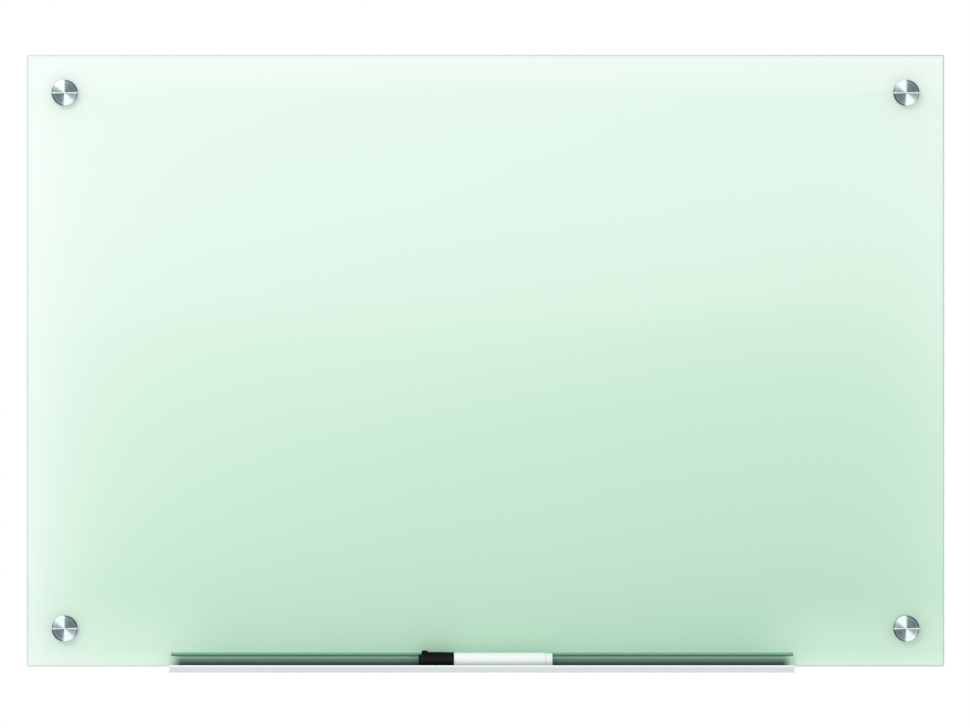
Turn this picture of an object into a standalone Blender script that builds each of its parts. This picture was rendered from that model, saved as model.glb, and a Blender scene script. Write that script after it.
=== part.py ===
"""Frosted glass writing board: a frameless tempered pane held off the wall by four standoffs,
with a marker tray that grips its lower edge and a capped marker lying in the tray.

Metres, +Z up. The front faces -Y, the wall is the plane y = 0, and the origin is on that plane in
the middle of the four fixings. Left and right are as seen from the front.
"""

import math

import bmesh
import bpy
from mathutils import Matrix, Vector

# Clearances that the whole assembly shares
SEAT_GAP = 0.0003
SCREW_CLEARANCE = 0.0004
CUT_OVERRUN = 0.002
MERGE_DISTANCE = 0.000001

# Glass pane and the frosted film on its back
GLASS_WIDTH = 0.9144
GLASS_HEIGHT = 0.6096
GLASS_THICKNESS = 0.004
GLASS_CORNER_RADIUS = 0.002
GLASS_ARRIS = 0.0005
GLASS_HOLE_DIAMETER = 0.013
HOLE_INSET = 0.0381
FILM_THICKNESS = 0.0003
FILM_INSET = 0.004

# Standoff: barrel on the wall, screw and wall plug behind it, cap and stud in front
BARREL_DIAMETER = 0.0254
BARREL_LENGTH = 0.019
BARREL_FLOOR = 0.006
BARREL_EDGE = 0.0006
BARREL_RELIEF_MARGIN = 0.0008
STUD_DIAMETER = 0.010
STUD_ENGAGEMENT = 0.011
STUD_CHAMFER = 0.0008
CAP_DIAMETER = 0.0258
CAP_THICKNESS = 0.0055
CAP_EDGE = 0.0008
CAP_BACK_EDGE = 0.0003
CAP_BORE_DEPTH = 0.0038
WASHER_DIAMETER = 0.022
WASHER_THICKNESS = 0.001
BUSHING_FLANGE_DIAMETER = 0.024
BUSHING_FLANGE_THICKNESS = 0.0015
SCREW_HEAD_DIAMETER = 0.0082
SCREW_SHANK_DIAMETER = 0.0042
SCREW_LENGTH = 0.033
SCREW_POINT = 0.006
PLUG_DIAMETER = 0.0076
PLUG_COLLAR_DIAMETER = 0.0100
PLUG_COLLAR_THICKNESS = 0.001
PLUG_LENGTH = 0.031
PLUG_NOSE = 0.005
PLUG_NOSE_DIAMETER = 0.004
PLUG_RIB_DEPTH = 0.0006
PLUG_SLOT_WIDTH = 0.0012
PLUG_BORE_SPARE = 0.001

# Marker tray: an extrusion whose slot takes the lower edge of the glass, in a soft liner
TRAY_LENGTH = 0.620
TRAY_SHIFT = -0.0035
TRAY_LEG = 0.0015
TRAY_FLOOR = 0.0022
TRAY_REAR_GRIP = 0.013
TRAY_FRONT_GRIP = 0.0106
TROUGH_WIDTH = 0.024
TROUGH_REAR_COVE = 0.003
TROUGH_FRONT_COVE = 0.0015
LIP_THICKNESS = 0.0018
LIP_RISE = 0.005
LIP_DROP = 0.0008
TRAY_EDGE = 0.0004
TRAY_HEEL = 0.001
LINER_THICKNESS = 0.0008
LINER_FRONT_GRIP = 0.0142
LINER_REAR_SETBACK = 0.001
LINER_BEAD_WIDTH = 0.0007
LINER_EDGE = 0.0003

# Marker: its cap, barrel, neck, nib, ink reservoir and end plug share one axis
MARKER_LENGTH = 0.133
MARKER_SHIFT = 0.0
MARKER_REAR_SPACE = 0.0025
INK_BARREL_DIAMETER = 0.015
INK_BARREL_WALL = 0.001
INK_BARREL_EDGE = 0.0002
PEN_CAP_LENGTH = 0.035
PEN_CAP_SHOULDER_DIAMETER = 0.0164
PEN_CAP_MOUTH_DIAMETER = 0.0158
PEN_CAP_END_WALL = 0.0015
PEN_CAP_ROUND = 0.0014
STUB_LENGTH = 0.0026
STUB_DIAMETER = 0.011
STUB_ROUND = 0.0008
LUG_LENGTH = 0.007
LUG_WIDTH = 0.006
LUG_RISE = 0.0016
NECK_DIAMETER = 0.0132
NECK_LENGTH = 0.014
NECK_CONE_LENGTH = 0.008
NECK_TIP_DIAMETER = 0.0066
NECK_SPIGOT_LENGTH = 0.008
NECK_CORE_DEPTH = 0.0115
NIB_DIAMETER = 0.0044
NIB_PROJECTION = 0.0055
NIB_ROUND = 0.002
RESERVOIR_DIAMETER = 0.0102
END_PLUG_HEAD = 0.0069
END_PLUG_ROUND = 0.0008
END_PLUG_SPIGOT = 0.008
END_PLUG_WALL = 0.0015
END_PLUG_GROOVE = 0.0003
END_PLUG_GROOVE_SHARES = (0.30, 0.78)

# Numbers of flat sides and steps on round forms
ARC_STEPS = 3
CORNER_STEPS = 4
BARREL_SIDES = 26
CAP_SIDES = 36
BUSHING_SIDES = 20
WASHER_SIDES = 20
HOLE_SIDES = 24
STUD_SIDES = 20
SCREW_SIDES = 16
WALL_PLUG_SIDES = 12
WALL_PLUG_RIBS = 4
MARKER_SIDES = 28
NIB_SIDES = 16
LUG_SIDES = 14
LUG_RINGS = 8
SHARP_ANGLE = math.radians(32)
ARRIS_ANGLE = math.radians(60)

# Distances forward from the wall, worked out along the stack of each standoff
BUSHING_BACK = BARREL_LENGTH + SEAT_GAP
FILM_BACK = BUSHING_BACK + BUSHING_FLANGE_THICKNESS + SEAT_GAP
GLASS_BACK = FILM_BACK + FILM_THICKNESS + SEAT_GAP
GLASS_FRONT = GLASS_BACK + GLASS_THICKNESS
WASHER_BACK = GLASS_FRONT + SEAT_GAP
CAP_BACK = WASHER_BACK + WASHER_THICKNESS + SEAT_GAP
CAP_FRONT = CAP_BACK + CAP_THICKNESS
CAP_BORE_END = CAP_BACK + CAP_BORE_DEPTH
STUD_END = BARREL_LENGTH - STUD_ENGAGEMENT
BORE_RADIUS = STUD_DIAMETER / 2 + SEAT_GAP

# Places across the glass
HOLE_X = GLASS_WIDTH / 2 - HOLE_INSET
HOLE_Z = GLASS_HEIGHT / 2 - HOLE_INSET
GLASS_FOOT = -GLASS_HEIGHT / 2
CORNERS = {
    "top_left": (-HOLE_X, HOLE_Z),
    "top_right": (HOLE_X, HOLE_Z),
    "bottom_left": (-HOLE_X, -HOLE_Z),
    "bottom_right": (HOLE_X, -HOLE_Z),
}

# Section of the tray, as distances forward from the wall and heights
SLOT_BACK = FILM_BACK - 2 * SEAT_GAP - LINER_THICKNESS
SLOT_FRONT = GLASS_FRONT + 2 * SEAT_GAP + LINER_THICKNESS
TROUGH_BACK = SLOT_FRONT + TRAY_LEG
TROUGH_FRONT = TROUGH_BACK + TROUGH_WIDTH
LIP_FRONT = TROUGH_FRONT + LIP_THICKNESS
FLOOR_TOP = GLASS_FOOT - 2 * SEAT_GAP - LINER_THICKNESS
FLOOR_BOTTOM = FLOOR_TOP - TRAY_FLOOR
REAR_LEG_TOP = GLASS_FOOT + TRAY_REAR_GRIP
FRONT_LEG_TOP = GLASS_FOOT + TRAY_FRONT_GRIP
LIP_TOP = FLOOR_TOP + LIP_RISE
LIP_BOTTOM = FLOOR_BOTTOM - LIP_DROP

# Places along the marker's axis, from its middle towards the end plug
MARKER_END = MARKER_LENGTH / 2
PEN_CAP_MOUTH = -MARKER_END + PEN_CAP_LENGTH
PEN_CAP_SHOULDER = -MARKER_END + STUB_LENGTH
INK_BARREL_FRONT = PEN_CAP_MOUTH + SEAT_GAP
END_PLUG_FRONT = MARKER_END - END_PLUG_HEAD
INK_BARREL_BACK = END_PLUG_FRONT - SEAT_GAP
NECK_CONE_START = PEN_CAP_MOUTH - NECK_LENGTH
NECK_TIP = NECK_CONE_START - NECK_CONE_LENGTH
NECK_CORE_FLOOR = PEN_CAP_MOUTH - NECK_CORE_DEPTH
SPIGOT_RADIUS = INK_BARREL_DIAMETER / 2 - INK_BARREL_WALL - SEAT_GAP
CORE_RADIUS = RESERVOIR_DIAMETER / 2 + SEAT_GAP
MARKER_FORWARD = TROUGH_BACK + MARKER_REAR_SPACE + PEN_CAP_SHOULDER_DIAMETER / 2
MARKER_HEIGHT = FLOOR_TOP + SEAT_GAP + PEN_CAP_SHOULDER_DIAMETER / 2


def clear_scene():
    """Removes every object, so that the model starts from an empty scene."""
    for leftover in list(bpy.data.objects):
        bpy.data.objects.remove(leftover, do_unlink=True)


def new_collection(name):
    collection = bpy.data.collections.new(name)
    bpy.context.scene.collection.children.link(collection)
    return collection


def finish(name, colour, roughness, metallic=0.0):
    """A plain material with the colour and gloss of one real finish."""
    made = bpy.data.materials.new(name)
    made.use_nodes = True
    shader = made.node_tree.nodes["Principled BSDF"]
    shader.inputs["Base Color"].default_value = (*colour, 1.0)
    shader.inputs["Roughness"].default_value = roughness
    shader.inputs["Metallic"].default_value = metallic
    made.diffuse_color = (*colour, 1.0)
    return made


def softened(corners):
    """The points of an outline from its corners (across, along, radius), each rounded by an arc
    of that radius, or less where the edges beside it are too short for it."""
    points = []
    for index, (across, along, radius) in enumerate(corners):
        here = Vector((across, along))
        if not radius:
            points.append(here)
            continue
        before = corners[index - 1]
        after = corners[(index + 1) % len(corners)]
        back = Vector(before[:2]) - here
        ahead = Vector(after[:2]) - here
        half = back.angle(ahead) / 2
        back_room = back.length / 2 if before[2] else back.length
        ahead_room = ahead.length / 2 if after[2] else ahead.length
        reach = min(radius / math.tan(half), back_room, ahead_room)
        back.normalize()
        ahead.normalize()
        centre = here + (back + ahead).normalized() * reach / math.cos(half)
        start = here + back * reach - centre
        end = here + ahead * reach - centre
        turn = math.atan2(start.x * end.y - start.y * end.x, start.dot(end))
        for step in range(ARC_STEPS + 1):
            points.append(centre + Matrix.Rotation(turn * step / ARC_STEPS, 2) @ start)
    return without_repeats(points)


def without_repeats(points):
    """The points, without each one that lies on the one before it."""
    kept = [points[0]]
    for point in points[1:]:
        if (point - kept[-1]).length > MERGE_DISTANCE:
            kept.append(point)
    if (kept[0] - kept[-1]).length <= MERGE_DISTANCE:
        kept.pop()
    return kept


def baked(piece):
    """The mesh of a helper object as its modifiers leave it, welded and shaded smooth between
    its sharp edges. The helper itself is removed."""
    bpy.context.view_layer.update()
    graph = bpy.context.evaluated_depsgraph_get()
    mesh = bpy.data.meshes.new_from_object(piece.evaluated_get(graph))
    shape = bmesh.new()
    shape.from_mesh(mesh)
    bmesh.ops.remove_doubles(shape, verts=shape.verts, dist=MERGE_DISTANCE)
    bmesh.ops.recalc_face_normals(shape, faces=shape.faces)
    shape.to_mesh(mesh)
    shape.free()
    mesh.shade_smooth()
    mesh.set_sharp_from_angle(angle=SHARP_ANGLE)
    bpy.data.objects.remove(piece, do_unlink=True)
    return mesh


def helper(name, data):
    """An object that only serves to work out a mesh."""
    made = bpy.data.objects.new(name, data)
    bpy.context.scene.collection.objects.link(made)
    return made


def turned(name, corners, sides, closed=False):
    """A turned form. Its profile of (radius, height, rounding) runs down the outer side, and
    starts and ends on the axis, or closes on itself round a bore."""
    outline = softened(corners)
    edges = [(index, index + 1) for index in range(len(outline) - 1)]
    if closed:
        edges.append((len(outline) - 1, 0))
    profile = bpy.data.meshes.new(name)
    profile.from_pydata([(point.x, 0, point.y) for point in outline], edges, [])
    piece = helper(name, profile)
    spin = piece.modifiers.new("Spin", "SCREW")
    spin.steps = sides
    spin.render_steps = sides
    spin.use_merge_vertices = True
    spin.merge_threshold = MERGE_DISTANCE
    return baked(piece)


def extruded(name, corners, length):
    """A bar along X whose section is an outline of (distance from the wall, height, rounding)."""
    outline = softened(corners)
    curve = bpy.data.curves.new(name, "CURVE")
    curve.dimensions = "2D"
    curve.fill_mode = "BOTH"
    curve.extrude = length / 2
    spline = curve.splines.new("POLY")
    spline.points.add(len(outline) - 1)
    for point, place in zip(spline.points, outline):
        point.co = (place.x, place.y, 0, 1)
    spline.use_cyclic_u = True
    mesh = baked(helper(name, curve))
    across_wall = Matrix(((0, 0, -1), (-1, 0, 0), (0, 1, 0)))
    mesh.transform(across_wall.to_4x4())
    return mesh


def block(name, size, centre=(0, 0, 0)):
    """A box as a mesh, from Blender's cube of side 1."""
    shape = bmesh.new()
    bmesh.ops.create_cube(shape, size=1)
    bmesh.ops.scale(shape, vec=Vector(size), verts=shape.verts)
    bmesh.ops.translate(shape, vec=Vector(centre), verts=shape.verts)
    mesh = bpy.data.meshes.new(name)
    shape.to_mesh(mesh)
    shape.free()
    return mesh


def combined(name, mesh, other, operation):
    """The mesh cut by another one, or joined to it."""
    piece = helper(name, mesh)
    tool = helper(name + "_tool", other)
    change = piece.modifiers.new("Change", "BOOLEAN")
    change.operation = operation
    change.object = tool
    result = baked(piece)
    bpy.data.objects.remove(tool, do_unlink=True)
    return result


def add_piece(name, mesh, material, collection, parent=None):
    """One named sub-part of the object, which may share its mesh with its copies."""
    piece = bpy.data.objects.new(name, mesh)
    collection.objects.link(piece)
    piece.parent = parent
    if not mesh.materials:
        mesh.materials.append(material)
    return piece


def add_axis(name, collection, location, rotation):
    """An empty whose own Z lies along the axis that its pieces share."""
    axis = bpy.data.objects.new(name, None)
    axis.empty_display_size = CAP_DIAMETER
    collection.objects.link(axis)
    axis.location = location
    axis.rotation_euler = rotation
    return axis


def pane(name, width, height, thickness, corner_radius):
    """A flat pane, facing -Y, with its four corners rounded."""
    shape = bmesh.new()
    shape.from_mesh(block(name + "_blank", (width, thickness, height)))
    through = [
        edge
        for edge in shape.edges
        if abs(edge.verts[0].co.y - edge.verts[1].co.y) > thickness / 2
    ]
    bmesh.ops.bevel(
        shape,
        geom=through,
        offset=corner_radius,
        segments=CORNER_STEPS,
        profile=0.5,
        affect="EDGES",
    )
    mesh = bpy.data.meshes.new(name)
    shape.to_mesh(mesh)
    shape.free()
    return mesh


def add_hole_cutters(collection):
    """One cutter for the hole of each standoff. It passes through film and glass alike."""
    depth = GLASS_FRONT - FILM_BACK + 2 * CUT_OVERRUN
    for corner, (x, z) in CORNERS.items():
        shape = bmesh.new()
        bmesh.ops.create_cone(
            shape,
            cap_ends=True,
            segments=HOLE_SIDES,
            radius1=GLASS_HOLE_DIAMETER / 2,
            radius2=GLASS_HOLE_DIAMETER / 2,
            depth=depth,
        )
        mesh = bpy.data.meshes.new("hole_" + corner)
        shape.to_mesh(mesh)
        shape.free()
        cutter = bpy.data.objects.new("hole_" + corner, mesh)
        collection.objects.link(cutter)
        cutter.location = (x, -(GLASS_FRONT + FILM_BACK) / 2, z)
        cutter.rotation_euler = (math.pi / 2, 0, 0)
        cutter.hide_render = True
        cutter.display_type = "WIRE"


def cut_holes(piece, cutters):
    holes = piece.modifiers.new("Standoff holes", "BOOLEAN")
    holes.operation = "DIFFERENCE"
    holes.operand_type = "COLLECTION"
    holes.collection = cutters
    holes.solver = "EXACT"


def add_glass(parts, cutters):
    """The tempered pane, with ground edges and four drilled holes."""
    glass = finish("frosted glass", (0.62, 0.85, 0.72), 0.12)
    mesh = pane("glass_panel", GLASS_WIDTH, GLASS_HEIGHT, GLASS_THICKNESS, GLASS_CORNER_RADIUS)
    piece = add_piece("glass_panel", mesh, glass, parts)
    piece.location.y = -(GLASS_BACK + GLASS_FRONT) / 2
    arris = piece.modifiers.new("Ground arris", "BEVEL")
    arris.width = GLASS_ARRIS
    arris.segments = 1
    arris.limit_method = "ANGLE"
    arris.angle_limit = ARRIS_ANGLE
    cut_holes(piece, cutters)


def add_film(parts, cutters):
    """The frosted film on the back of the pane, which stops short of the ground edges."""
    film = finish("frosted film", (0.80, 0.93, 0.86), 0.75)
    width = GLASS_WIDTH - 2 * FILM_INSET
    height = GLASS_HEIGHT - 2 * FILM_INSET
    mesh = pane("frosted_film", width, height, FILM_THICKNESS, GLASS_CORNER_RADIUS)
    piece = add_piece("frosted_film", mesh, film, parts)
    piece.location.y = -(FILM_BACK + FILM_THICKNESS / 2)
    cut_holes(piece, cutters)


def barrel_mesh():
    """The barrel is drilled from the front for the stud. Its floor is countersunk for the screw,
    and relieved behind, so that it seats on the wall round the collar of the plug."""
    outer = BARREL_DIAMETER / 2
    relief = PLUG_COLLAR_DIAMETER / 2 + BARREL_RELIEF_MARGIN
    relief_floor = PLUG_COLLAR_THICKNESS + SEAT_GAP
    hole = SCREW_SHANK_DIAMETER / 2 + SCREW_CLEARANCE
    head = SCREW_HEAD_DIAMETER / 2 + SCREW_CLEARANCE
    corners = (
        (BORE_RADIUS, BARREL_LENGTH, 0),
        (outer, BARREL_LENGTH, BARREL_EDGE),
        (outer, 0, BARREL_EDGE),
        (relief, 0, 0),
        (relief, relief_floor, 0),
        (hole, relief_floor, 0),
        (hole, BARREL_FLOOR - (head - hole), 0),
        (head, BARREL_FLOOR, 0),
        (BORE_RADIUS, BARREL_FLOOR, 0),
    )
    return turned("standoff_barrel", corners, BARREL_SIDES, closed=True)


def screw_mesh():
    """The countersunk wall screw, driven through the floor of the barrel."""
    head = SCREW_HEAD_DIAMETER / 2
    shank = SCREW_SHANK_DIAMETER / 2
    tip = BARREL_FLOOR - SCREW_LENGTH
    corners = (
        (0, BARREL_FLOOR, 0),
        (head, BARREL_FLOOR, 0),
        (shank, BARREL_FLOOR - (head - shank), 0),
        (shank, tip + SCREW_POINT, 0),
        (0, tip, 0),
    )
    return turned("wall_screw", corners, SCREW_SIDES)


def wall_plug_mesh():
    """The plastic wall plug: a collar that lies on the wall, a ribbed body slotted on both
    sides, and a tapered nose."""
    top = PLUG_COLLAR_THICKNESS
    end = top - PLUG_LENGTH
    bore = SCREW_SHANK_DIAMETER / 2 + SEAT_GAP
    bore_end = BARREL_FLOOR - SCREW_LENGTH - PLUG_BORE_SPARE
    body = PLUG_DIAMETER / 2
    collar = PLUG_COLLAR_DIAMETER / 2
    ribs_top = 0
    ribs_end = end + PLUG_NOSE
    pitch = (ribs_top - ribs_end) / WALL_PLUG_RIBS
    corners = [(0, bore_end, 0), (bore, bore_end, 0), (bore, top, 0), (collar, top, 0)]
    corners.append((collar, ribs_top, 0))
    for rib in range(WALL_PLUG_RIBS):
        corners.append((body - PLUG_RIB_DEPTH, ribs_top - rib * pitch, 0))
        corners.append((body, ribs_top - (rib + 1) * pitch + PLUG_RIB_DEPTH, 0))
    corners.append((body - PLUG_RIB_DEPTH, ribs_end, 0))
    corners.append((PLUG_NOSE_DIAMETER / 2, end, 0))
    corners.append((0, end, 0))
    plug = turned("wall_anchor", corners, WALL_PLUG_SIDES)
    slot_top = ribs_top - pitch
    size = (PLUG_DIAMETER + 2 * CUT_OVERRUN, PLUG_SLOT_WIDTH, slot_top - ribs_end)
    slot = block("plug_slot", size, (0, 0, (slot_top + ribs_end) / 2))
    return combined("wall_anchor", plug, slot, "DIFFERENCE")


def bushing_mesh():
    """The flanged bushing: its flange backs the pane and its sleeve lines the hole."""
    sleeve = GLASS_HOLE_DIAMETER / 2 - SEAT_GAP
    flange = BUSHING_FLANGE_DIAMETER / 2
    flange_front = BUSHING_BACK + BUSHING_FLANGE_THICKNESS
    corners = (
        (BORE_RADIUS, GLASS_FRONT, 0),
        (sleeve, GLASS_FRONT, 0),
        (sleeve, flange_front, 0),
        (flange, flange_front, 0),
        (flange, BUSHING_BACK, 0),
        (BORE_RADIUS, BUSHING_BACK, 0),
    )
    return turned("rear_bushing", corners, BUSHING_SIDES, closed=True)


def washer_mesh():
    outer = WASHER_DIAMETER / 2
    front = WASHER_BACK + WASHER_THICKNESS
    corners = (
        (BORE_RADIUS, front, 0),
        (outer, front, 0),
        (outer, WASHER_BACK, 0),
        (BORE_RADIUS, WASHER_BACK, 0),
    )
    return turned("front_washer", corners, WASHER_SIDES, closed=True)


def cap_mesh():
    """The turned cap, bored from behind for its stud."""
    outer = CAP_DIAMETER / 2
    corners = (
        (0, CAP_FRONT, 0),
        (outer, CAP_FRONT, CAP_EDGE),
        (outer, CAP_BACK, CAP_BACK_EDGE),
        (BORE_RADIUS, CAP_BACK, 0),
        (BORE_RADIUS, CAP_BORE_END, 0),
        (0, CAP_BORE_END, 0),
    )
    return turned("standoff_cap", corners, CAP_SIDES)


def stud_mesh():
    """The stud, fixed in the cap and screwed into the barrel."""
    radius = STUD_DIAMETER / 2
    front = CAP_BORE_END - SEAT_GAP
    corners = (
        (0, front, 0),
        (radius, front, 0),
        (radius, STUD_END + STUD_CHAMFER, 0),
        (radius - STUD_CHAMFER, STUD_END, 0),
        (0, STUD_END, 0),
    )
    return turned("cap_stud", corners, STUD_SIDES)


def add_standoffs(parts):
    """Four like sets of pieces, each on an empty whose Z points forward from the wall."""
    steel = finish("turned steel", (0.78, 0.80, 0.80), 0.25, metallic=1.0)
    zinc = finish("zinc plate", (0.62, 0.63, 0.64), 0.35, metallic=1.0)
    nylon = finish("grey nylon", (0.42, 0.43, 0.44), 0.6)
    clear = finish("clear plastic", (0.86, 0.92, 0.90), 0.2)
    white = finish("natural nylon", (0.85, 0.84, 0.80), 0.55)
    kinds = (
        ("standoff_barrel", barrel_mesh(), steel),
        ("wall_screw", screw_mesh(), zinc),
        ("wall_anchor", wall_plug_mesh(), nylon),
        ("rear_bushing", bushing_mesh(), white),
        ("front_washer", washer_mesh(), clear),
        ("standoff_cap", cap_mesh(), steel),
        ("cap_stud", stud_mesh(), zinc),
    )
    for corner, (x, z) in CORNERS.items():
        axis = add_axis("standoff_axis_" + corner, parts, (x, 0, z), (math.pi / 2, 0, 0))
        for kind, mesh, material in kinds:
            add_piece(f"{kind}_{corner}", mesh, material, parts, axis)


def tray_mesh():
    """The tray's section: rear leg, glass slot, front leg, trough and lip in one extrusion."""
    round_leg = TRAY_LEG / 2
    round_lip = LIP_THICKNESS / 2
    lip_back = LIP_FRONT - LIP_THICKNESS
    corners = (
        (SLOT_BACK - TRAY_LEG, FLOOR_BOTTOM, TRAY_HEEL),
        (SLOT_BACK - TRAY_LEG, REAR_LEG_TOP, round_leg),
        (SLOT_BACK, REAR_LEG_TOP, round_leg),
        (SLOT_BACK, FLOOR_TOP, 0),
        (SLOT_FRONT, FLOOR_TOP, 0),
        (SLOT_FRONT, FRONT_LEG_TOP, round_leg),
        (TROUGH_BACK, FRONT_LEG_TOP, round_leg),
        (TROUGH_BACK, FLOOR_TOP, TROUGH_REAR_COVE),
        (TROUGH_FRONT, FLOOR_TOP, TROUGH_FRONT_COVE),
        (TROUGH_FRONT, LIP_TOP, round_lip),
        (LIP_FRONT, LIP_TOP, round_lip),
        (LIP_FRONT, LIP_BOTTOM, TRAY_EDGE),
        (lip_back, LIP_BOTTOM, TRAY_EDGE),
        (lip_back, FLOOR_BOTTOM, TRAY_EDGE),
    )
    return extruded("tray_extrusion", corners, TRAY_LENGTH)


def liner_mesh():
    """The soft liner: a U round the edge of the glass, with a bead over the tray's front leg."""
    back = SLOT_BACK + SEAT_GAP
    front = SLOT_FRONT - SEAT_GAP
    bottom = FLOOR_TOP + SEAT_GAP
    rear_top = REAR_LEG_TOP - LINER_REAR_SETBACK
    bead_bottom = FRONT_LEG_TOP + SEAT_GAP
    front_top = GLASS_FOOT + LINER_FRONT_GRIP
    corners = (
        (back, bottom, LINER_EDGE),
        (back, rear_top, LINER_EDGE),
        (back + LINER_THICKNESS, rear_top, LINER_EDGE),
        (back + LINER_THICKNESS, bottom + LINER_THICKNESS, 0),
        (front - LINER_THICKNESS, bottom + LINER_THICKNESS, 0),
        (front - LINER_THICKNESS, front_top, LINER_EDGE),
        (front + LINER_BEAD_WIDTH, front_top, LINER_BEAD_WIDTH),
        (front + LINER_BEAD_WIDTH, bead_bottom, LINER_EDGE),
        (front, bead_bottom, 0),
        (front, bottom, LINER_EDGE),
    )
    return extruded("tray_grip_liner", corners, TRAY_LENGTH - 2 * LINER_EDGE)


def add_tray(parts):
    aluminium = finish("satin aluminium", (0.78, 0.80, 0.80), 0.35, metallic=1.0)
    vinyl = finish("green tinted vinyl", (0.20, 0.36, 0.26), 0.4)
    tray = add_piece("tray_extrusion", tray_mesh(), aluminium, parts)
    liner = add_piece("tray_grip_liner", liner_mesh(), vinyl, parts)
    for piece in (tray, liner):
        piece.location.x = TRAY_SHIFT


def pen_cap_mesh():
    """The marker's cap, open at its mouth, with a stub end and a lug that stops it rolling."""
    bore = NECK_DIAMETER / 2 + SEAT_GAP
    bore_end = PEN_CAP_SHOULDER + PEN_CAP_END_WALL
    shoulder = PEN_CAP_SHOULDER_DIAMETER / 2
    corners = (
        (0, bore_end, 0),
        (bore, bore_end, 0),
        (bore, PEN_CAP_MOUTH, 0),
        (PEN_CAP_MOUTH_DIAMETER / 2, PEN_CAP_MOUTH, INK_BARREL_EDGE),
        (shoulder, PEN_CAP_SHOULDER, PEN_CAP_ROUND),
        (STUB_DIAMETER / 2, PEN_CAP_SHOULDER, 0),
        (STUB_DIAMETER / 2, -MARKER_END, STUB_ROUND),
        (0, -MARKER_END, 0),
    )
    cap = turned("marker_cap", corners, MARKER_SIDES)
    return combined("marker_cap", cap, lug_mesh(shoulder), "UNION")


def lug_mesh(cap_radius):
    """An egg-shaped lug, half sunk in the wall of the cap, on the side that lies uppermost."""
    shape = bmesh.new()
    bmesh.ops.create_uvsphere(shape, u_segments=LUG_SIDES, v_segments=LUG_RINGS, radius=1)
    sunk = (PEN_CAP_SHOULDER_DIAMETER - NECK_DIAMETER) / 2 - 2 * SEAT_GAP
    reach = Vector(((LUG_RISE + sunk) / 2, LUG_WIDTH / 2, LUG_LENGTH / 2))
    bmesh.ops.scale(shape, vec=reach, verts=shape.verts)
    middle = Vector((LUG_RISE + cap_radius - reach.x, 0, PEN_CAP_SHOULDER + LUG_LENGTH / 2))
    middle.x = -middle.x
    bmesh.ops.translate(shape, vec=middle, verts=shape.verts)
    mesh = bpy.data.meshes.new("marker_cap_lug")
    shape.to_mesh(mesh)
    shape.free()
    return mesh


def ink_barrel_mesh():
    outer = INK_BARREL_DIAMETER / 2
    inner = outer - INK_BARREL_WALL
    corners = (
        (inner, INK_BARREL_BACK, 0),
        (outer, INK_BARREL_BACK, INK_BARREL_EDGE),
        (outer, INK_BARREL_FRONT, INK_BARREL_EDGE),
        (inner, INK_BARREL_FRONT, 0),
    )
    return turned("marker_barrel", corners, MARKER_SIDES, closed=True)


def neck_mesh():
    """The neck: a spigot in the barrel, a collar in the cap and a cone bored for the nib."""
    neck = NECK_DIAMETER / 2
    nib_bore = NIB_DIAMETER / 2 + SEAT_GAP
    corners = (
        (CORE_RADIUS, PEN_CAP_MOUTH + NECK_SPIGOT_LENGTH, 0),
        (SPIGOT_RADIUS, PEN_CAP_MOUTH + NECK_SPIGOT_LENGTH, 0),
        (SPIGOT_RADIUS, PEN_CAP_MOUTH, 0),
        (neck, PEN_CAP_MOUTH, 0),
        (neck, NECK_CONE_START, TRAY_EDGE),
        (NECK_TIP_DIAMETER / 2, NECK_TIP, TRAY_EDGE),
        (nib_bore, NECK_TIP, 0),
        (nib_bore, NECK_CORE_FLOOR, 0),
        (CORE_RADIUS, NECK_CORE_FLOOR, 0),
    )
    return turned("marker_neck", corners, MARKER_SIDES, closed=True)


def nib_mesh():
    """The bullet nib, which draws from the front of the reservoir."""
    radius = NIB_DIAMETER / 2
    tip = NECK_TIP - NIB_PROJECTION
    corners = (
        (0, NECK_CORE_FLOOR, 0),
        (radius, NECK_CORE_FLOOR, 0),
        (radius, tip, NIB_ROUND),
        (0, tip, 0),
    )
    return turned("marker_nib", corners, NIB_SIDES)


def reservoir_mesh():
    """The fibre core that holds the ink, from the nib to the end plug."""
    radius = RESERVOIR_DIAMETER / 2
    back = MARKER_END - END_PLUG_WALL - SEAT_GAP
    front = NECK_CORE_FLOOR + SEAT_GAP
    corners = ((0, back, 0), (radius, back, 0), (radius, front, 0), (0, front, 0))
    return turned("marker_reservoir", corners, NIB_SIDES)


def end_plug_mesh():
    """The end plug: a grooved head, and a hollow spigot that centres the reservoir."""
    outer = INK_BARREL_DIAMETER / 2
    waist = outer - END_PLUG_GROOVE
    corners = [(0, MARKER_END, 0), (outer, MARKER_END, END_PLUG_ROUND)]
    for share in END_PLUG_GROOVE_SHARES:
        middle = MARKER_END - share * END_PLUG_HEAD
        corners.append((outer, middle + END_PLUG_GROOVE, 0))
        corners.append((waist, middle, 0))
        corners.append((outer, middle - END_PLUG_GROOVE, 0))
    corners.append((outer, END_PLUG_FRONT, 0))
    corners.append((SPIGOT_RADIUS, END_PLUG_FRONT, 0))
    corners.append((SPIGOT_RADIUS, END_PLUG_FRONT - END_PLUG_SPIGOT, 0))
    corners.append((CORE_RADIUS, END_PLUG_FRONT - END_PLUG_SPIGOT, 0))
    corners.append((CORE_RADIUS, MARKER_END - END_PLUG_WALL, 0))
    corners.append((0, MARKER_END - END_PLUG_WALL, 0))
    return turned("marker_end_plug", corners, MARKER_SIDES)


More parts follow.
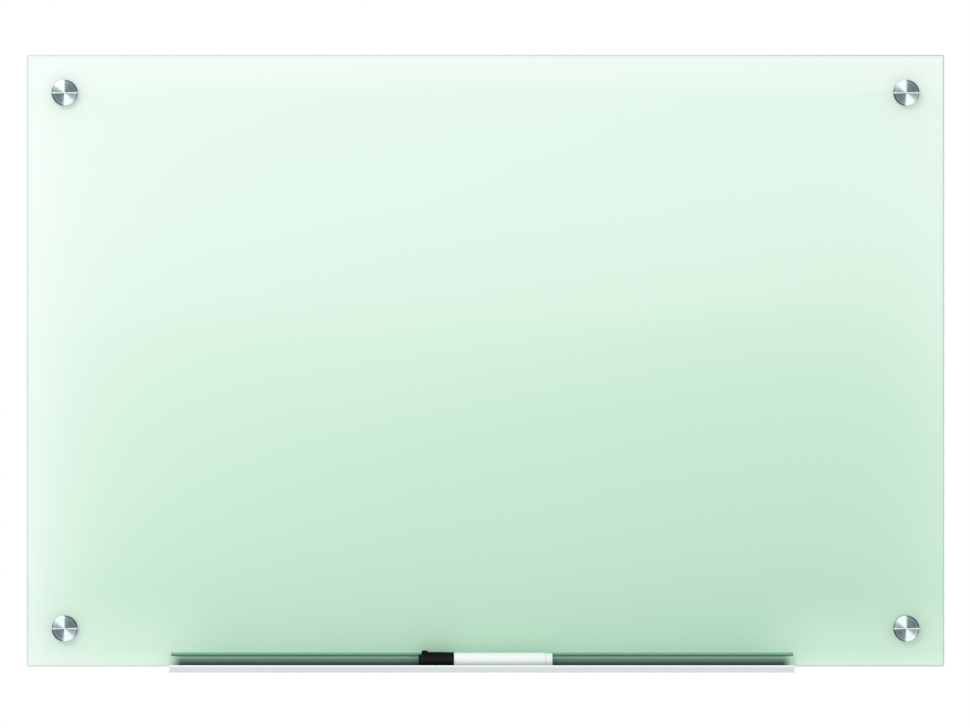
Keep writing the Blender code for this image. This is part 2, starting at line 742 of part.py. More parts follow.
def add_marker(parts):
    """The marker lies on the floor of the trough with its cap to the left."""
    black = finish("black plastic", (0.02, 0.02, 0.022), 0.35)
    white = finish("white plastic", (0.86, 0.88, 0.87), 0.3)
    felt = finish("inked felt", (0.01, 0.01, 0.012), 0.9)
    fibre = finish("reservoir fibre", (0.80, 0.80, 0.78), 0.9)
    place = (MARKER_SHIFT, -MARKER_FORWARD, MARKER_HEIGHT)
    axis = add_axis("marker_axis", parts, place, (0, math.pi / 2, 0))
    add_piece("marker_cap", pen_cap_mesh(), black, parts, axis)
    add_piece("marker_barrel", ink_barrel_mesh(), white, parts, axis)
    add_piece("marker_neck", neck_mesh(), white, parts, axis)
    add_piece("marker_nib", nib_mesh(), felt, parts, axis)
    add_piece("marker_reservoir", reservoir_mesh(), fibre, parts, axis)
    add_piece("marker_end_plug", end_plug_mesh(), white, parts, axis)


def build():
    clear_scene()
    parts = new_collection("glass_whiteboard")
    cutters = new_collection("hole_cutters")
    add_hole_cutters(cutters)
    add_glass(parts, cutters)
    add_film(parts, cutters)
    add_standoffs(parts)
    add_tray(parts)
    add_marker(parts)


build()
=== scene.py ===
# %% [markdown]
# # A glass whiteboard
# The real object is a pane of frosted glass that stands off the wall on four turned fittings. A
# marker tray grips its lower edge and holds one marker. It could be drawn as a green rectangle with
# four dots, but from the side it would fall apart. So each piece is made by itself, in metres, in
# the place that the solid model gives it, and then gets a finish of its own.

# %% Load the solid model
import math

import bmesh
import bpy
import numpy as np
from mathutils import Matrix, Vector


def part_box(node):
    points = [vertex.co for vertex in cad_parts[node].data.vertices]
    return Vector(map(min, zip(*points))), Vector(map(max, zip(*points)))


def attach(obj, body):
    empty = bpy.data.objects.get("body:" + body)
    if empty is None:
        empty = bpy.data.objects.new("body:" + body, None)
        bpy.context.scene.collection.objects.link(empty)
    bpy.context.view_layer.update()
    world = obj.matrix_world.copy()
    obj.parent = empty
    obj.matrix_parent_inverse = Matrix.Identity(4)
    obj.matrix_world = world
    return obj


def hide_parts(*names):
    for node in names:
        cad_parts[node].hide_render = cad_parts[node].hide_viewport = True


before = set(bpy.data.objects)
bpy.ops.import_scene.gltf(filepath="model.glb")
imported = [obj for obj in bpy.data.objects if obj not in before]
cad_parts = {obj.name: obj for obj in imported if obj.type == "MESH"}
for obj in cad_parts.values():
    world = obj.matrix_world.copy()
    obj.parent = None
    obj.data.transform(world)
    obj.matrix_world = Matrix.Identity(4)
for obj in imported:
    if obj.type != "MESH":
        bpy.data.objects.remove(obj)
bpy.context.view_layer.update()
CORNERS = ("top_left", "top_right", "bottom_left", "bottom_right")
MM = 0.001
TURN = 2 * math.pi


# %% [markdown]
# ## Shader sums in plain Python
# A pattern such as the shine on a turned cap is a sum of angles and distances. It could be wired up
# by hand, but nobody can read that back. Here a small class wraps a socket, so that an expression
# such as `1 - mask` adds its own Math node. Every other kind of node comes from one method.


# %% A socket that can be added and multiplied
class Signal:
    """A value on its way through a network of nodes. Python's signs add Math nodes to it."""

    def __init__(self, network, socket):
        self.network = network
        self.socket = socket

    def math(self, operation, *values):
        return self.network.add("Math", {"operation": operation}, dict(enumerate(values)))

    def __add__(self, other):
        return self.math("ADD", self, other)

    def __sub__(self, other):
        return self.math("SUBTRACT", self, other)

    def __rsub__(self, other):
        return self.math("SUBTRACT", other, self)

    def __mul__(self, other):
        return self.math("MULTIPLY", self, other)

    def __truediv__(self, other):
        return self.math("DIVIDE", self, other)

    def __pow__(self, other):
        return self.math("POWER", self, other)

    def __abs__(self):
        return self.math("ABSOLUTE", self)

    __radd__ = __add__
    __rmul__ = __mul__


# %% A network of nodes
class Network:
    """A node tree. Its add method makes every node: type, settings, then sockets."""

    def __init__(self, tree):
        self.tree = tree

    def add(self, kind, settings=None, sockets=None, output=0):
        node = self.tree.nodes.new("ShaderNode" + kind)
        for word, value in (settings or {}).items():
            if word == "stops":
                self.place_stops(node.color_ramp, value)
            else:
                setattr(node, word, value)
        for place, value in (sockets or {}).items():
            self.feed(node.inputs[place], value)
        return Signal(self, node.outputs[output])

    def feed(self, socket, value):
        """A signal is linked to the socket, and a plain value is set on it."""
        if isinstance(value, Signal):
            self.tree.links.new(value.socket, socket)
        else:
            socket.default_value = value

    def place_stops(self, ramp, stops):
        """A new ramp already has two stops, and the rest are added."""
        for number, (place, colour) in enumerate(stops):
            stop = ramp.elements[number] if number < 2 else ramp.elements.new(place)
            stop.position = place
            stop.color = colour

    def step(self, value, low, high):
        """0 at low, 1 at high, and a smooth change between them, whichever of the two is larger."""
        settings = {"interpolation_type": "SMOOTHSTEP"}
        return self.add("MapRange", settings, {"Value": value, "From Min": low, "From Max": high})

    def mix(self, share, first, second):
        """The first colour where the share is 0, and the second where it is 1."""
        sockets = {0: share, 6: first, 7: second}
        return self.add("Mix", {"data_type": "RGBA"}, sockets, output=2)

    def ramp(self, share, stops):
        """The colour that a list of stops (place, colour) has at the share."""
        return self.add("ValToRGB", {"stops": stops}, {0: share})


# %% [markdown]
# A finish is such a network behind a Principled shader. It starts from the place of a point in
# metres, in the piece's own coordinates, so a pattern has its real size and moves with the piece.


# %% A finish made with a network
class Finish(Network):
    """A material. Its constants sit on the shader's own sockets."""

    def __init__(self, name, slot, constants):
        self.material = bpy.data.materials.new(name)
        self.material.use_nodes = True
        super().__init__(self.material.node_tree)
        self.slot = slot
        self.shader = self.tree.nodes["Principled BSDF"]
        for socket, value in constants.items():
            self.shader.inputs[socket].default_value = value
        self.where = self.add("TexCoord", output="Object")
        parts = self.add("SeparateXYZ", sockets={0: self.where}).socket.node.outputs
        self.x, self.y, self.z = (Signal(self, part) for part in parts)

    def paint(self, socket, value):
        self.feed(self.shader.inputs[socket], value)

    def grain(self, scale, detail=2.0):
        """Noise between 0 and 1. The scale says how often it changes in a metre along X, Y and Z."""
        stretched = self.add("Mapping", sockets={"Vector": self.where, "Scale": scale})
        sockets = {"Vector": stretched, "Scale": 1.0, "Detail": detail}
        return self.add("TexNoise", sockets=sockets)

    def emboss(self, height, depth):
        """Heights from 0 to 1 raise the surface by up to the depth, in metres."""
        sockets = {"Strength": 1.0, "Distance": depth, "Height": height}
        self.paint("Normal", self.add("Bump", sockets=sockets))


# %% Colours as a screen shows them
def seen(red, green, blue):
    """A colour as a screen shows it, from 0 to 255, turned into the linear light of a shader."""
    share = np.array([red, green, blue]) / 255
    light = np.where(share <= 0.04045, share / 12.92, ((share + 0.055) / 1.055) ** 2.4)
    return (*light.tolist(), 1.0)


print("mid grey in linear light:", round(seen(128, 128, 128)[0], 3))

# %% [markdown]
# ## The camera
# The board was photographed square on, from far away, so that its four edges stay straight. A lens
# of about 200 mm at five and a half metres gives that flat look. The board hangs a little above the
# middle of the picture, so the camera sits a few millimetres below the middle of the pane.

# %% Set up the camera
CAMERA_DISTANCE = 5.5
VIEW_WIDTH = 0.9668
CAMERA_X, CAMERA_Z = -0.5 * MM, -3.3 * MM
pane_low, pane_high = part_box("glass_panel")
camera_data = bpy.data.cameras.new("camera")
camera_data.sensor_width = 36
camera_data.lens = camera_data.sensor_width * CAMERA_DISTANCE / VIEW_WIDTH
camera = bpy.data.objects.new("camera", camera_data)
camera.location = (CAMERA_X, pane_low[1] - CAMERA_DISTANCE, CAMERA_Z)
camera.rotation_euler = (math.pi / 2, 0, 0)
bpy.context.collection.objects.link(camera)
bpy.context.scene.camera = camera
print("lens:", round(camera_data.lens, 1), "mm")

# %% [markdown]
# ## Light, world and floor
# The studio is plain and white. The world lights everything evenly, a little below full strength,
# and one large lamp at the upper left gives each cap its soft shadow. What the camera and every
# mirror see behind the object is plain white: the light path tells those rays from the ones that
# light it.

# %% White surroundings that light the object evenly
WORLD_LIGHT = 0.88
SEEN_DIRECTLY = ("Is Camera Ray", "Is Glossy Ray", "Is Transmission Ray")


def white_light(network):
    """Strength 1 for rays that show the surroundings, and WORLD_LIGHT for rays that only bring
    light to the object."""
    path = network.add("LightPath").socket.node.outputs
    shown = Signal(network, path[SEEN_DIRECTLY[0]])
    for kind in SEEN_DIRECTLY[1:]:
        shown = shown.math("MAXIMUM", shown, Signal(network, path[kind]))
    return WORLD_LIGHT + (1 - WORLD_LIGHT) * shown


world = bpy.data.worlds.new("white studio")
world.use_nodes = True
bpy.context.scene.world = world
studio = Network(world.node_tree)
background = world.node_tree.nodes["Background"]
background.inputs["Color"].default_value = (1, 1, 1, 1)
studio.feed(background.inputs["Strength"], white_light(studio))
bpy.context.scene.view_settings.view_transform = "Standard"
print("the world lights the object at", WORLD_LIGHT)


# %% One large soft lamp
def soft_lamp(name, place, size, power):
    """A square area lamp that faces the middle of the board, which is the origin."""
    data = bpy.data.lights.new(name, "AREA")
    data.size = size
    data.energy = power
    lamp = bpy.data.objects.new(name, data)
    lamp.location = place
    x, y, z = place
    lamp.rotation_euler = (math.atan2(math.hypot(x, y), z), 0, math.atan2(x, -y))
    bpy.context.collection.objects.link(lamp)


soft_lamp("upper left lamp", place=(-1.6, -3.2, 2.2), size=1.2, power=26)


# %% A white floor that keeps shadows near the object
def add_floor(height, reach, clear):
    """A flat square. Round the object it is lit like any floor, and past clear it is plain white."""
    mesh = bpy.data.meshes.new("floor")
    ends = [(x * reach, y * reach, height) for x, y in ((-1, -1), (1, -1), (1, 1), (-1, 1))]
    mesh.from_pydata(ends, [], [(0, 1, 2, 3)])
    floor = bpy.data.objects.new("floor", mesh)
    bpy.context.collection.objects.link(floor)
    paper = Finish("white paper floor", None, {"Base Color": (0.9, 0.9, 0.9, 1), "Roughness": 0.9})
    away = (paper.x * paper.x + paper.y * paper.y) ** 0.5
    glow = paper.add("Emission", sockets={"Color": (1, 1, 1, 1), "Strength": white_light(paper)})
    lit = Signal(paper, paper.shader.outputs[0])
    blend = paper.add("MixShader", sockets={0: paper.step(away, clear / 2, clear), 1: lit, 2: glow})
    paper.feed(paper.tree.nodes["Material Output"].inputs["Surface"], blend)
    mesh.materials.append(paper.material)


add_floor(height=-1.25, reach=30.0, clear=2.2)

# %% [markdown]
# ## Surfaces from arrays
# Nearly all the small pieces are turned on a lathe or cut from a drawn bar. They could start from
# cylinders, but a profile says the same with a few numbers. numpy works out all points at once, as
# a grid: along the profile, and round the axis or along the bar.

# %% A mesh object from a grid of points
MERGE_WITHIN = 0.001 * MM
SHARP_ABOVE = math.radians(30)


def skin(name, grid, finish, end_faces=False):
    """An object whose faces join neighbours in a grid of points of shape (rows, columns, 3). The
    last column meets the first. Points that coincide are merged, such as those on an axis."""
    rows, columns = grid.shape[:2]
    number = np.arange(rows * columns).reshape(rows, columns)
    beside = np.roll(number, -1, axis=1)
    faces = np.stack([number[:-1], beside[:-1], beside[1:], number[1:]], axis=-1)
    faces = faces.reshape(-1, 4).tolist()
    if end_faces:
        faces += [number[0].tolist(), number[-1].tolist()]
    mesh = bpy.data.meshes.new(name)
    mesh.from_pydata(grid.reshape(-1, 3).tolist(), [], faces)
    shape = bmesh.new()
    shape.from_mesh(mesh)
    bmesh.ops.remove_doubles(shape, verts=shape.verts, dist=MERGE_WITHIN)
    bmesh.ops.recalc_face_normals(shape, faces=shape.faces)
    shape.to_mesh(mesh)
    shape.free()
    mesh.shade_smooth()
    mesh.set_sharp_from_angle(angle=SHARP_ABOVE)
    mesh.materials.append(finish.material)
    piece = bpy.data.objects.new(name, mesh)
    bpy.context.collection.objects.link(piece)
    return piece


# %% [markdown]
# A drawn or turned edge is never quite sharp. Bevel could round it, but it also rounds what should
# stay crisp. So each corner of an outline carries its own rounding.


# %% Outlines with rounded corners
def eased(corners, steps=6):
    """The points of an outline from its corners (across, along, rounding). An arc of that radius
    starts and ends at radius / tan(half the corner's angle) from the corner, and its centre lies on
    the line that halves the angle, radius / sin(half the angle) away."""
    corners = np.array(corners, dtype=float)
    spots = corners[:, :2]
    back = np.roll(spots, 1, axis=0) - spots
    ahead = np.roll(spots, -1, axis=0) - spots
    points = []
    for spot, before, after, radius in zip(spots, back, ahead, corners[:, 2]):
        if radius == 0:
            points.append(spot[None])
            continue
        before_length, after_length = np.linalg.norm(before), np.linalg.norm(after)
        one, other = before / before_length, after / after_length
        half = math.acos(np.clip(one @ other, -1, 1)) / 2
        reach = min(radius / math.tan(half), before_length / 2, after_length / 2)
        middle = spot + (one + other) / np.linalg.norm(one + other) * reach / math.cos(half)
        start, end = spot + one * reach - middle, spot + other * reach - middle
        turn = math.atan2(start[0] * end[1] - start[1] * end[0], start @ end)
        angle = turn * np.linspace(0, 1, steps + 1)
        across = start[0] * np.cos(angle) - start[1] * np.sin(angle)
        along = start[0] * np.sin(angle) + start[1] * np.cos(angle)
        points.append(middle + np.stack([across, along], axis=-1))
    return np.concatenate(points)


# %% Turned surfaces
FORWARD = np.array([(0, -1, 0), (1, 0, 0), (0, 0, 1)], dtype=float)
SIDEWAYS = np.array([(1, 0, 0), (0, 0, 1), (0, -1, 0)], dtype=float)


def turned(name, radius, along, origin, axes, finish, around=72):
    """A turned surface: origin + axis * along + radius * (across * cos + up * sin) of the angle.
    The radius and the distance along the axis have a row for each ring of points, and one column
    or a column per angle."""
    angle = np.linspace(0, TURN, around, endpoint=False)[:, None]
    ring = np.cos(angle) * axes[1] + np.sin(angle) * axes[2]
    radius = np.reshape(radius, (len(along), -1, 1))
    along = np.reshape(along, (len(along), -1, 1))
    return skin(name, np.array(origin) + along * axes[0] + radius * ring, finish)


def lathe(name, corners, origin, axes, finish, around=72, steps=6, closed=False):
    """A turned piece from the corners (radius, along, rounding) of its profile. The profile of a
    ring or a tube is closed: it ends where it starts."""
    outline = eased(corners, steps)
    if closed:
        outline = np.concatenate([outline, outline[:1]])
    return turned(name, outline[:, 0], outline[:, 1], origin, axes, finish, around)


# %% [markdown]
# ## The four axes
# Several finishes follow the standoffs, such as the painted fan of reflections on the caps and the
# rings on the barrels.
# An empty could be the centre of each, but it is lost when a piece is exported. The board is
# symmetrical, so the distance to the nearest axis comes from the size of X and Z alone, and their
# signs say which axis that is.

# %% Angle and distance round the nearest standoff
cap_low, cap_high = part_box("standoff_cap_top_right")
axis_x, axis_z = (cap_low[0] + cap_high[0]) / 2, (cap_low[2] + cap_high[2]) / 2
cap_radius, cap_front = (cap_high[0] - cap_low[0]) / 2, -cap_low[1]


def round_each_axis(finish):
    """The angle in half turns, from 0 to 1 twice round, the distance from the nearest axis, and the
    height over it."""
    across = finish.x - finish.x.math("SIGN", finish.x) * axis_x
    rise = finish.z - finish.z.math("SIGN", finish.z) * axis_z
    half_turns = rise.math("ARCTAN2", rise, across) / math.pi
    distance = (across * across + rise * rise) ** 0.5
    return half_turns.math("FRACT", half_turns + 1), distance, rise


print("standoff axes at", round(axis_x, 4), "and", round(axis_z, 4))

# %% [markdown]
# ## The frosted pane
# The pane is 4 mm glass with a frosted film behind it. Its own colour is mint, and how light or deep
# that mint looks is painted light and shade: nearly white along the top and left, deeper towards
# the bottom. Real glass would need exactly the room of the photograph to show that, so the light
# and shade are painted from the place on the pane. One ramp says how the painted shade deepens,
# with the soft steps that the panels of a studio leave on glass as painted reflections. The pane's
# own mesh is already right, so it only gets this finish.

# %% How deep the painted shade on the mint is from bottom to top
pane_width, pane_height = pane_high[0] - pane_low[0], pane_high[2] - pane_low[2]
glass = Finish("frosted mint glass", "frosted_glass", {"IOR": 1.5})
from_left = (glass.x - pane_low[0]) / pane_width
from_right = 1 - from_left
up = (glass.z - pane_low[2]) / pane_height
# How deep the painted shade is at each height, from the bottom of the pane to the top.
SHADE_DEPTHS = [
    (0.0, 0.55),
    (0.03, 0.86),
    (0.1, 0.8),
    (0.2, 0.71),
    (0.4, 0.6),
    (0.55, 0.47),
    (0.62, 0.37),
    (0.75, 0.29),
    (0.94, 0.24),
    (0.96, 0.15),
    (1.0, 0.11),
]
shade_depth_stops = [(place, (value, value, value, 1)) for place, value in SHADE_DEPTHS]
print("pane:", round(pane_width, 4), "x", round(pane_height, 4), "m")

# %% [markdown]
# The steps of the ramp would be straight bars. On the glass they bend upwards at both sides. The
# sides and the lower corners are painted lighter, as light, the shade deepens a little to the right,
# and a soft sweep of painted shade slants across from the lower left. Each of these is one short
# term.


# %% Bend the painted shade, and paint light at the sides and lower corners
def glow(distance, strength, reach):
    """strength * e ** (-distance / reach)."""
    return strength * distance.math("EXPONENT", distance / -reach)


bend = glow(from_left, strength=0.045, reach=0.4) + glow(from_right, strength=0.06, reach=0.05)
bend = (bend + 0.02 * (from_left - 0.5)) * (4 * up * (1 - up))
depth = glass.ramp(up + bend, shade_depth_stops)
# Painted light: the mint is paler near the left and right edges and in the lower corners. The
# slanting sweep and the deepening to the right are painted shade.
left_painted_light = 1 - glow(from_left, strength=0.8, reach=0.055)
right_painted_light = 1 - glow(from_right, strength=0.27, reach=0.045)
nearest_side = from_left.math("MINIMUM", from_left, from_right)
corner_painted_light = 1 - 0.4 * (glass.step(nearest_side, 0.23, 0.13) * glass.step(up, 0.14, 0.0))
painted_sweep = glass.step(up - 0.58 * from_left, 0.25, 0.01)
tint_and_shade = depth * left_painted_light * right_painted_light * corner_painted_light * (0.87 + 0.26 * from_left) + 0.045 * painted_sweep
# Painted light: a pale halo on the glass round each standoff.
painted_pale_halo = glass.step(round_each_axis(glass)[1], 19 * MM, 12.5 * MM)
tint_and_shade = tint_and_shade - 0.2 * painted_pale_halo

# %% The mint of the frosted glass, from its painted light to its painted shade
# The glass's own mint, nearly white where light is painted and deeper where shade is painted.
MINT_SHADE_STOPS = [
    (0.0, seen(246, 255, 250)),
    (0.29, seen(226, 247, 234)),
    (0.57, seen(207, 239, 217)),
    (0.75, seen(196, 232, 207)),
    (1.0, seen(178, 221, 193)),
]
unevenness = 0.03 * (glass.grain((2.5, 1.0, 4.0)) - 0.5)
mint = glass.ramp(tint_and_shade + unevenness, MINT_SHADE_STOPS)

# %% [markdown]
# The ground edge of the pane is where glass shows its true green: from the front it is a thin grey
# line, and from the side a deep green band with the fine marks of the grinding wheel.

# %% The ground edges of the pane
half_width, half_height = pane_width / 2, pane_height / 2
middle_x, middle_z = (pane_low[0] + pane_high[0]) / 2, (pane_low[2] + pane_high[2]) / 2
from_side = half_width - abs(glass.x - middle_x)
from_end = half_height - abs(glass.z - middle_z)
inward = from_side.math("MINIMUM", from_side, from_end)
wheel_marks = glass.grain((900.0, 60.0, 900.0), 3.0)
edge_green = glass.mix(wheel_marks, seen(104, 158, 134), seen(142, 190, 166))
past_film = 0.4 * glass.step(inward, 4.5 * MM, 0.5 * MM)
bordered = glass.mix(past_film, mint, seen(210, 226, 218))
line = glass.step(inward, 1.3 * MM, 0.6 * MM)
# The grey line of the ground edge, painted darker towards the right as shade.
line_grey_and_shade = glass.mix(from_left ** 3, seen(214, 226, 219), seen(184, 202, 191))
front = glass.mix(line, bordered, line_grey_and_shade)
on_edge = glass.step(inward, 0.25 * MM, 0.1 * MM)
glass.paint("Base Color", glass.mix(on_edge, front, edge_green))
glass.paint("Roughness", 0.16 + 0.06 * glass.grain((6.0, 6.0, 9.0)) + 0.25 * line)

# %% [markdown]
# The film makes the pane opaque, and shows only from behind. It could be one flat colour, but a
# frosted film is a haze of tiny specks, with clouds where it took up more white and faint upright
# streaks where it was smoothed on.

# %% The frosted film
film = Finish("frosted film", "frosted_film", {"IOR": 1.45})
speckle = film.grain((1600.0, 1600.0, 1600.0), 1.0)
cloud = film.step(film.grain((3.0, 1.0, 3.0)), 0.35, 0.65)
smoothing = film.step(film.grain((35.0, 1.0, 1.2)), 0.4, 0.6)
patchy = 0.35 * speckle + 0.25 * cloud + 0.07 * smoothing
film.paint("Base Color", film.mix(patchy, seen(200, 233, 214), seen(228, 247, 236)))
film.paint("Roughness", 0.6 + 0.15 * speckle + 0.1 * smoothing)
film.emboss(speckle, 0.02 * MM)


def dress(node, finish):
    """Gives a piece of the solid model its finish and keeps its shape."""
    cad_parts[node].data.materials.clear()
    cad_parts[node].data.materials.append(finish.material)
    print("dressed", node, "in", finish.material.name)


dress("glass_panel", glass)
dress("frosted_film", film)

# %% [markdown]
# ## Turned metal
# Each cap shows a fan: two dark quarters and two bright ones. On a real cap the lathe leaves fine
# rings, and each mirrors the room only where it faces it. An anisotropic shader can do that, but it
# changes with every light. So the fan is a painted reflection, from the angle round the cap's own
# middle, and the rings are embossed on top. The bright streak across the middle is a painted
# reflection of a window.

# %% The painted fan of reflected light on a turned face
# The painted reflection round a turned face, by the angle in half turns: two dark quarters and two
# bright ones.
FAN_REFLECTION_STOPS = [
    (0.0, seen(117, 136, 138)),
    (0.167, seen(114, 133, 136)),
    (0.333, seen(126, 144, 147)),
    (0.44, seen(142, 158, 160)),
    (0.482, seen(174, 188, 188)),
    (0.512, seen(228, 240, 240)),
    (0.545, seen(243, 253, 253)),
    (0.75, seen(240, 251, 251)),
    (0.83, seen(200, 213, 212)),
    (0.92, seen(162, 176, 176)),
    (1.0, seen(156, 170, 170)),
]
face_steel = Finish("turned steel face", "turned_steel", {"Metallic": 1.0})
half_turn, out, rise = round_each_axis(face_steel)
lower_half = face_steel.step(rise, 0.5 * MM, -0.5 * MM)
off_level = face_steel.step(half_turn, 0.0, 0.3) * face_steel.step(half_turn, 1.0, 0.8)
fan_reflection = face_steel.ramp(half_turn + 0.03 * (lower_half * off_level), FAN_REFLECTION_STOPS)
# A painted reflection of a window: the bright streak across the middle of the face.
window_reflection = face_steel.step(abs(rise) - 0.035 * out, 0.6 * MM, 0.1 * MM)
fan_reflection = face_steel.mix(0.92 * window_reflection, fan_reflection, seen(230, 244, 242))

# %% [markdown]
# The marks of a turning tool change with the distance from the axis and never with the angle, so
# noise on that distance gives rings that are as uneven as real ones. They tone the painted fan down
# here and there, and the rounded rim is painted darker still, as shade. The pip in the middle gets a
# painted highlight.


# %% Marks of the turning tool
def lathe_rings(finish, out, often):
    """Noise that changes only with the distance from the axis and the distance along it."""
    place = finish.add("CombineXYZ", sockets={0: out * often, 1: finish.y * often})
    return finish.add("TexNoise", sockets={"Vector": place, "Scale": 1.0, "Detail": 3.0})


ring_marks = lathe_rings(face_steel, out, often=3200.0)
broad_rings = lathe_rings(face_steel, out, often=700.0)
rings = face_steel.step(0.5 * ring_marks + 0.5 * broad_rings, 0.42, 0.68)
# Painted shade: the rounded rim darkens the fan.
rim_shade = face_steel.step(out, cap_radius - 2.2 * MM, cap_radius - 0.2 * MM)
deeper = face_steel.add("VectorMath", {"operation": "MULTIPLY"}, {0: fan_reflection, 1: fan_reflection})
toned_reflection = face_steel.mix(0.65 * rim_shade + 0.5 * rings, fan_reflection, deeper)
# A painted highlight on the pip in the middle of the face.
pip_highlight = face_steel.step(out, 1.0 * MM, 0.4 * MM)
toned_reflection = face_steel.mix(0.6 * pip_highlight, toned_reflection, seen(235, 243, 243))
on_side = face_steel.step(face_steel.y, -cap_front + 0.5 * MM, -cap_front + 1.1 * MM)
side_steel = face_steel.mix(ring_marks, seen(120, 138, 130), seen(184, 198, 192))
face_steel.paint("Base Color", face_steel.mix(on_side, toned_reflection, side_steel))
face_steel.paint("Roughness", 0.26 + 0.1 * ring_marks)
face_steel.emboss(ring_marks, 0.006 * MM)

# %% Turned steel for the barrels, and plated steel for studs and screws
barrel_steel = Finish("turned steel side", "turned_steel", {"Metallic": 1.0})
tool_marks = lathe_rings(barrel_steel, round_each_axis(barrel_steel)[1], often=2600.0)
tool_marks = barrel_steel.step(tool_marks, 0.3, 0.7)
side_colour = barrel_steel.mix(tool_marks, seen(170, 178, 178), seen(226, 231, 230))
barrel_steel.paint("Base Color", side_colour)
barrel_steel.paint("Roughness", 0.22 + 0.16 * tool_marks)
barrel_steel.emboss(tool_marks, 0.004 * MM)

plated = Finish("zinc plate", "zinc_plate", {"Metallic": 1.0})
bloom = plated.grain((450.0, 450.0, 450.0), 4.0)
plated.paint("Base Color", plated.mix(bloom, seen(158, 161, 160), seen(206, 208, 204)))
plated.paint("Roughness", 0.28 + 0.22 * bloom)

# %% [markdown]
# ## Moulded plastic
# Bushings, washers and wall plugs are moulded. Moulded nylon is never quite even: it has a faint
# mottle and a dull skin. The clear washers are shown as pale, glossy plastic, because nothing dark
# lies behind them.

# %% Three moulded plastics
MOTTLE = (700.0, 700.0, 700.0)


def moulded(name, slot, low, high, roughness):
    """A plastic whose colour lies between two near shades, with a fine moulded skin."""
    finish = Finish(name, slot, {"IOR": 1.48})
    mottle = finish.grain(MOTTLE, 3.0)
    finish.paint("Base Color", finish.mix(mottle, low, high))
    finish.paint("Roughness", roughness + 0.1 * mottle)
    finish.emboss(mottle, 0.01 * MM)
    return finish


bushing_nylon = moulded(
    "natural nylon", "bushing_nylon", seen(226, 224, 214), seen(238, 237, 229), roughness=0.5
)
plug_nylon = moulded(
    "grey nylon", "plug_nylon", seen(158, 160, 162), seen(176, 178, 180), roughness=0.55
)
clear_plastic = moulded(
    "clear washer plastic", "clear_plastic", seen(212, 232, 224), seen(226, 242, 235), roughness=0.12
)

# %% [markdown]
# ## The standoffs
# A standoff is a stack on one axis. From the wall forward it has a ribbed plug, a screw, a barrel,
# a flanged bushing, the pane, a clear washer, and a cap with its stud. All of them are turned, so
# each is one short profile of radius and distance from the wall. It takes its ends from the box of
# its solid, so it always meets what it touches.


# %% Where one standoff lies
def stand(corner):
    """The axis of a standoff: a point on the wall."""
    low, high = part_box("standoff_cap_" + corner)
    return ((low[0] + high[0]) / 2, 0.0, (low[2] + high[2]) / 2)


def span(node):
    """How far a piece reaches forward from the wall: its back and its front."""
    low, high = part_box(node)
    return -high[1], -low[1]


def width(node):
    low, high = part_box(node)
    return high[0] - low[0]


BORE, HAIR = 5.3 * MM, 0.12 * MM

# %% [markdown]
# The cap's face is dished by a tenth of a millimetre and keeps a small pip in the middle, where the
# turning tool came to a stop. The dark outline on its rounded front edge is painted shade in the
# cap's finish.

# %% Turn the caps
DISH = 0.1 * MM
PIP_TOP, PIP_FOOT, PIP_ROUND = 0.5 * MM, 0.8 * MM, 0.08 * MM
RIM_ROUND, BACK_ROUND = 0.75 * MM, 0.3 * MM
STUD_HOLE = 3.8 * MM


def cap_profile(corner):
    back, front = span("standoff_cap_" + corner)
    return [
        (0, front, 0),
        (PIP_TOP, front, PIP_ROUND),
        (PIP_FOOT, front - DISH, PIP_ROUND),
        (cap_radius, front - DISH, RIM_ROUND),
        (cap_radius, back, BACK_ROUND),
        (BORE, back, HAIR),
        (BORE, back + STUD_HOLE, 0),
        (0, back + STUD_HOLE, 0),
    ]


for corner in CORNERS:
    profile, place = cap_profile(corner), stand(corner)
    cap = lathe("turned_cap_" + corner, profile, place, FORWARD, face_steel, around=128, steps=8)
    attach(cap, "cap_" + corner)
    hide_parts("standoff_cap_" + corner)
print("caps:", round(cap_radius * 2 / MM, 1), "mm across")

# %% [markdown]
# The stud is an M10 screw with a pitch of 1.5 mm. A thread could be swept along a spiral, but then
# it never joins its core cleanly. Here the radius itself rises and falls: at each angle the wave is
# shifted by a part of the pitch, and that is all that makes rings into a thread.

# %% A thread as a radius
THREAD_SIDES = 48


def thread_radius(along, crest, depth, pitch):
    """crest - depth * |1 - 2 * wave|, where the wave is the fraction of (along / pitch - angle / a
    full turn). The depth fades to nothing within half a pitch of either end."""
    turns = along[:, None] / pitch - np.linspace(0, 1, THREAD_SIDES, endpoint=False)
    wave = np.abs(1 - 2 * (turns - np.floor(turns)))
    from_end = np.minimum(along - along.min(), along.max() - along)
    fade = np.clip(from_end / (pitch / 2), 0, 1)
    return crest - depth * wave * fade[:, None]


# %% The stud of a cap
STUD_PITCH, STUD_THREAD, CHAMFER = 1.5 * MM, 0.85 * MM, 0.8 * MM


def add_stud(corner):
    """A threaded rod with flat ends and a chamfer at the back."""
    back, front = span("cap_stud_" + corner)
    crest = width("cap_stud_" + corner) / 2
    along = np.linspace(back + CHAMFER, front, 168)
    thread = thread_radius(along, crest, STUD_THREAD, STUD_PITCH)
    middle = np.zeros((1, THREAD_SIDES))
    radius = np.concatenate([middle, middle + crest - CHAMFER, thread, middle])
    along = np.concatenate([[back, back], along, [front]])
    place = stand(corner)
    stud = turned("threaded_stud_" + corner, radius, along, place, FORWARD, plated, THREAD_SIDES)
    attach(stud, "cap_" + corner)
    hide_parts("cap_stud_" + corner)


# %% [markdown]
# The wall screw has the same kind of thread, coarser, on a thinner shank. Its cross recess could be
# cut out with two boxes. On a grid of points it is simpler to push in the points of the head that
# lie within a narrow cross, less and less towards the ends of its arms.

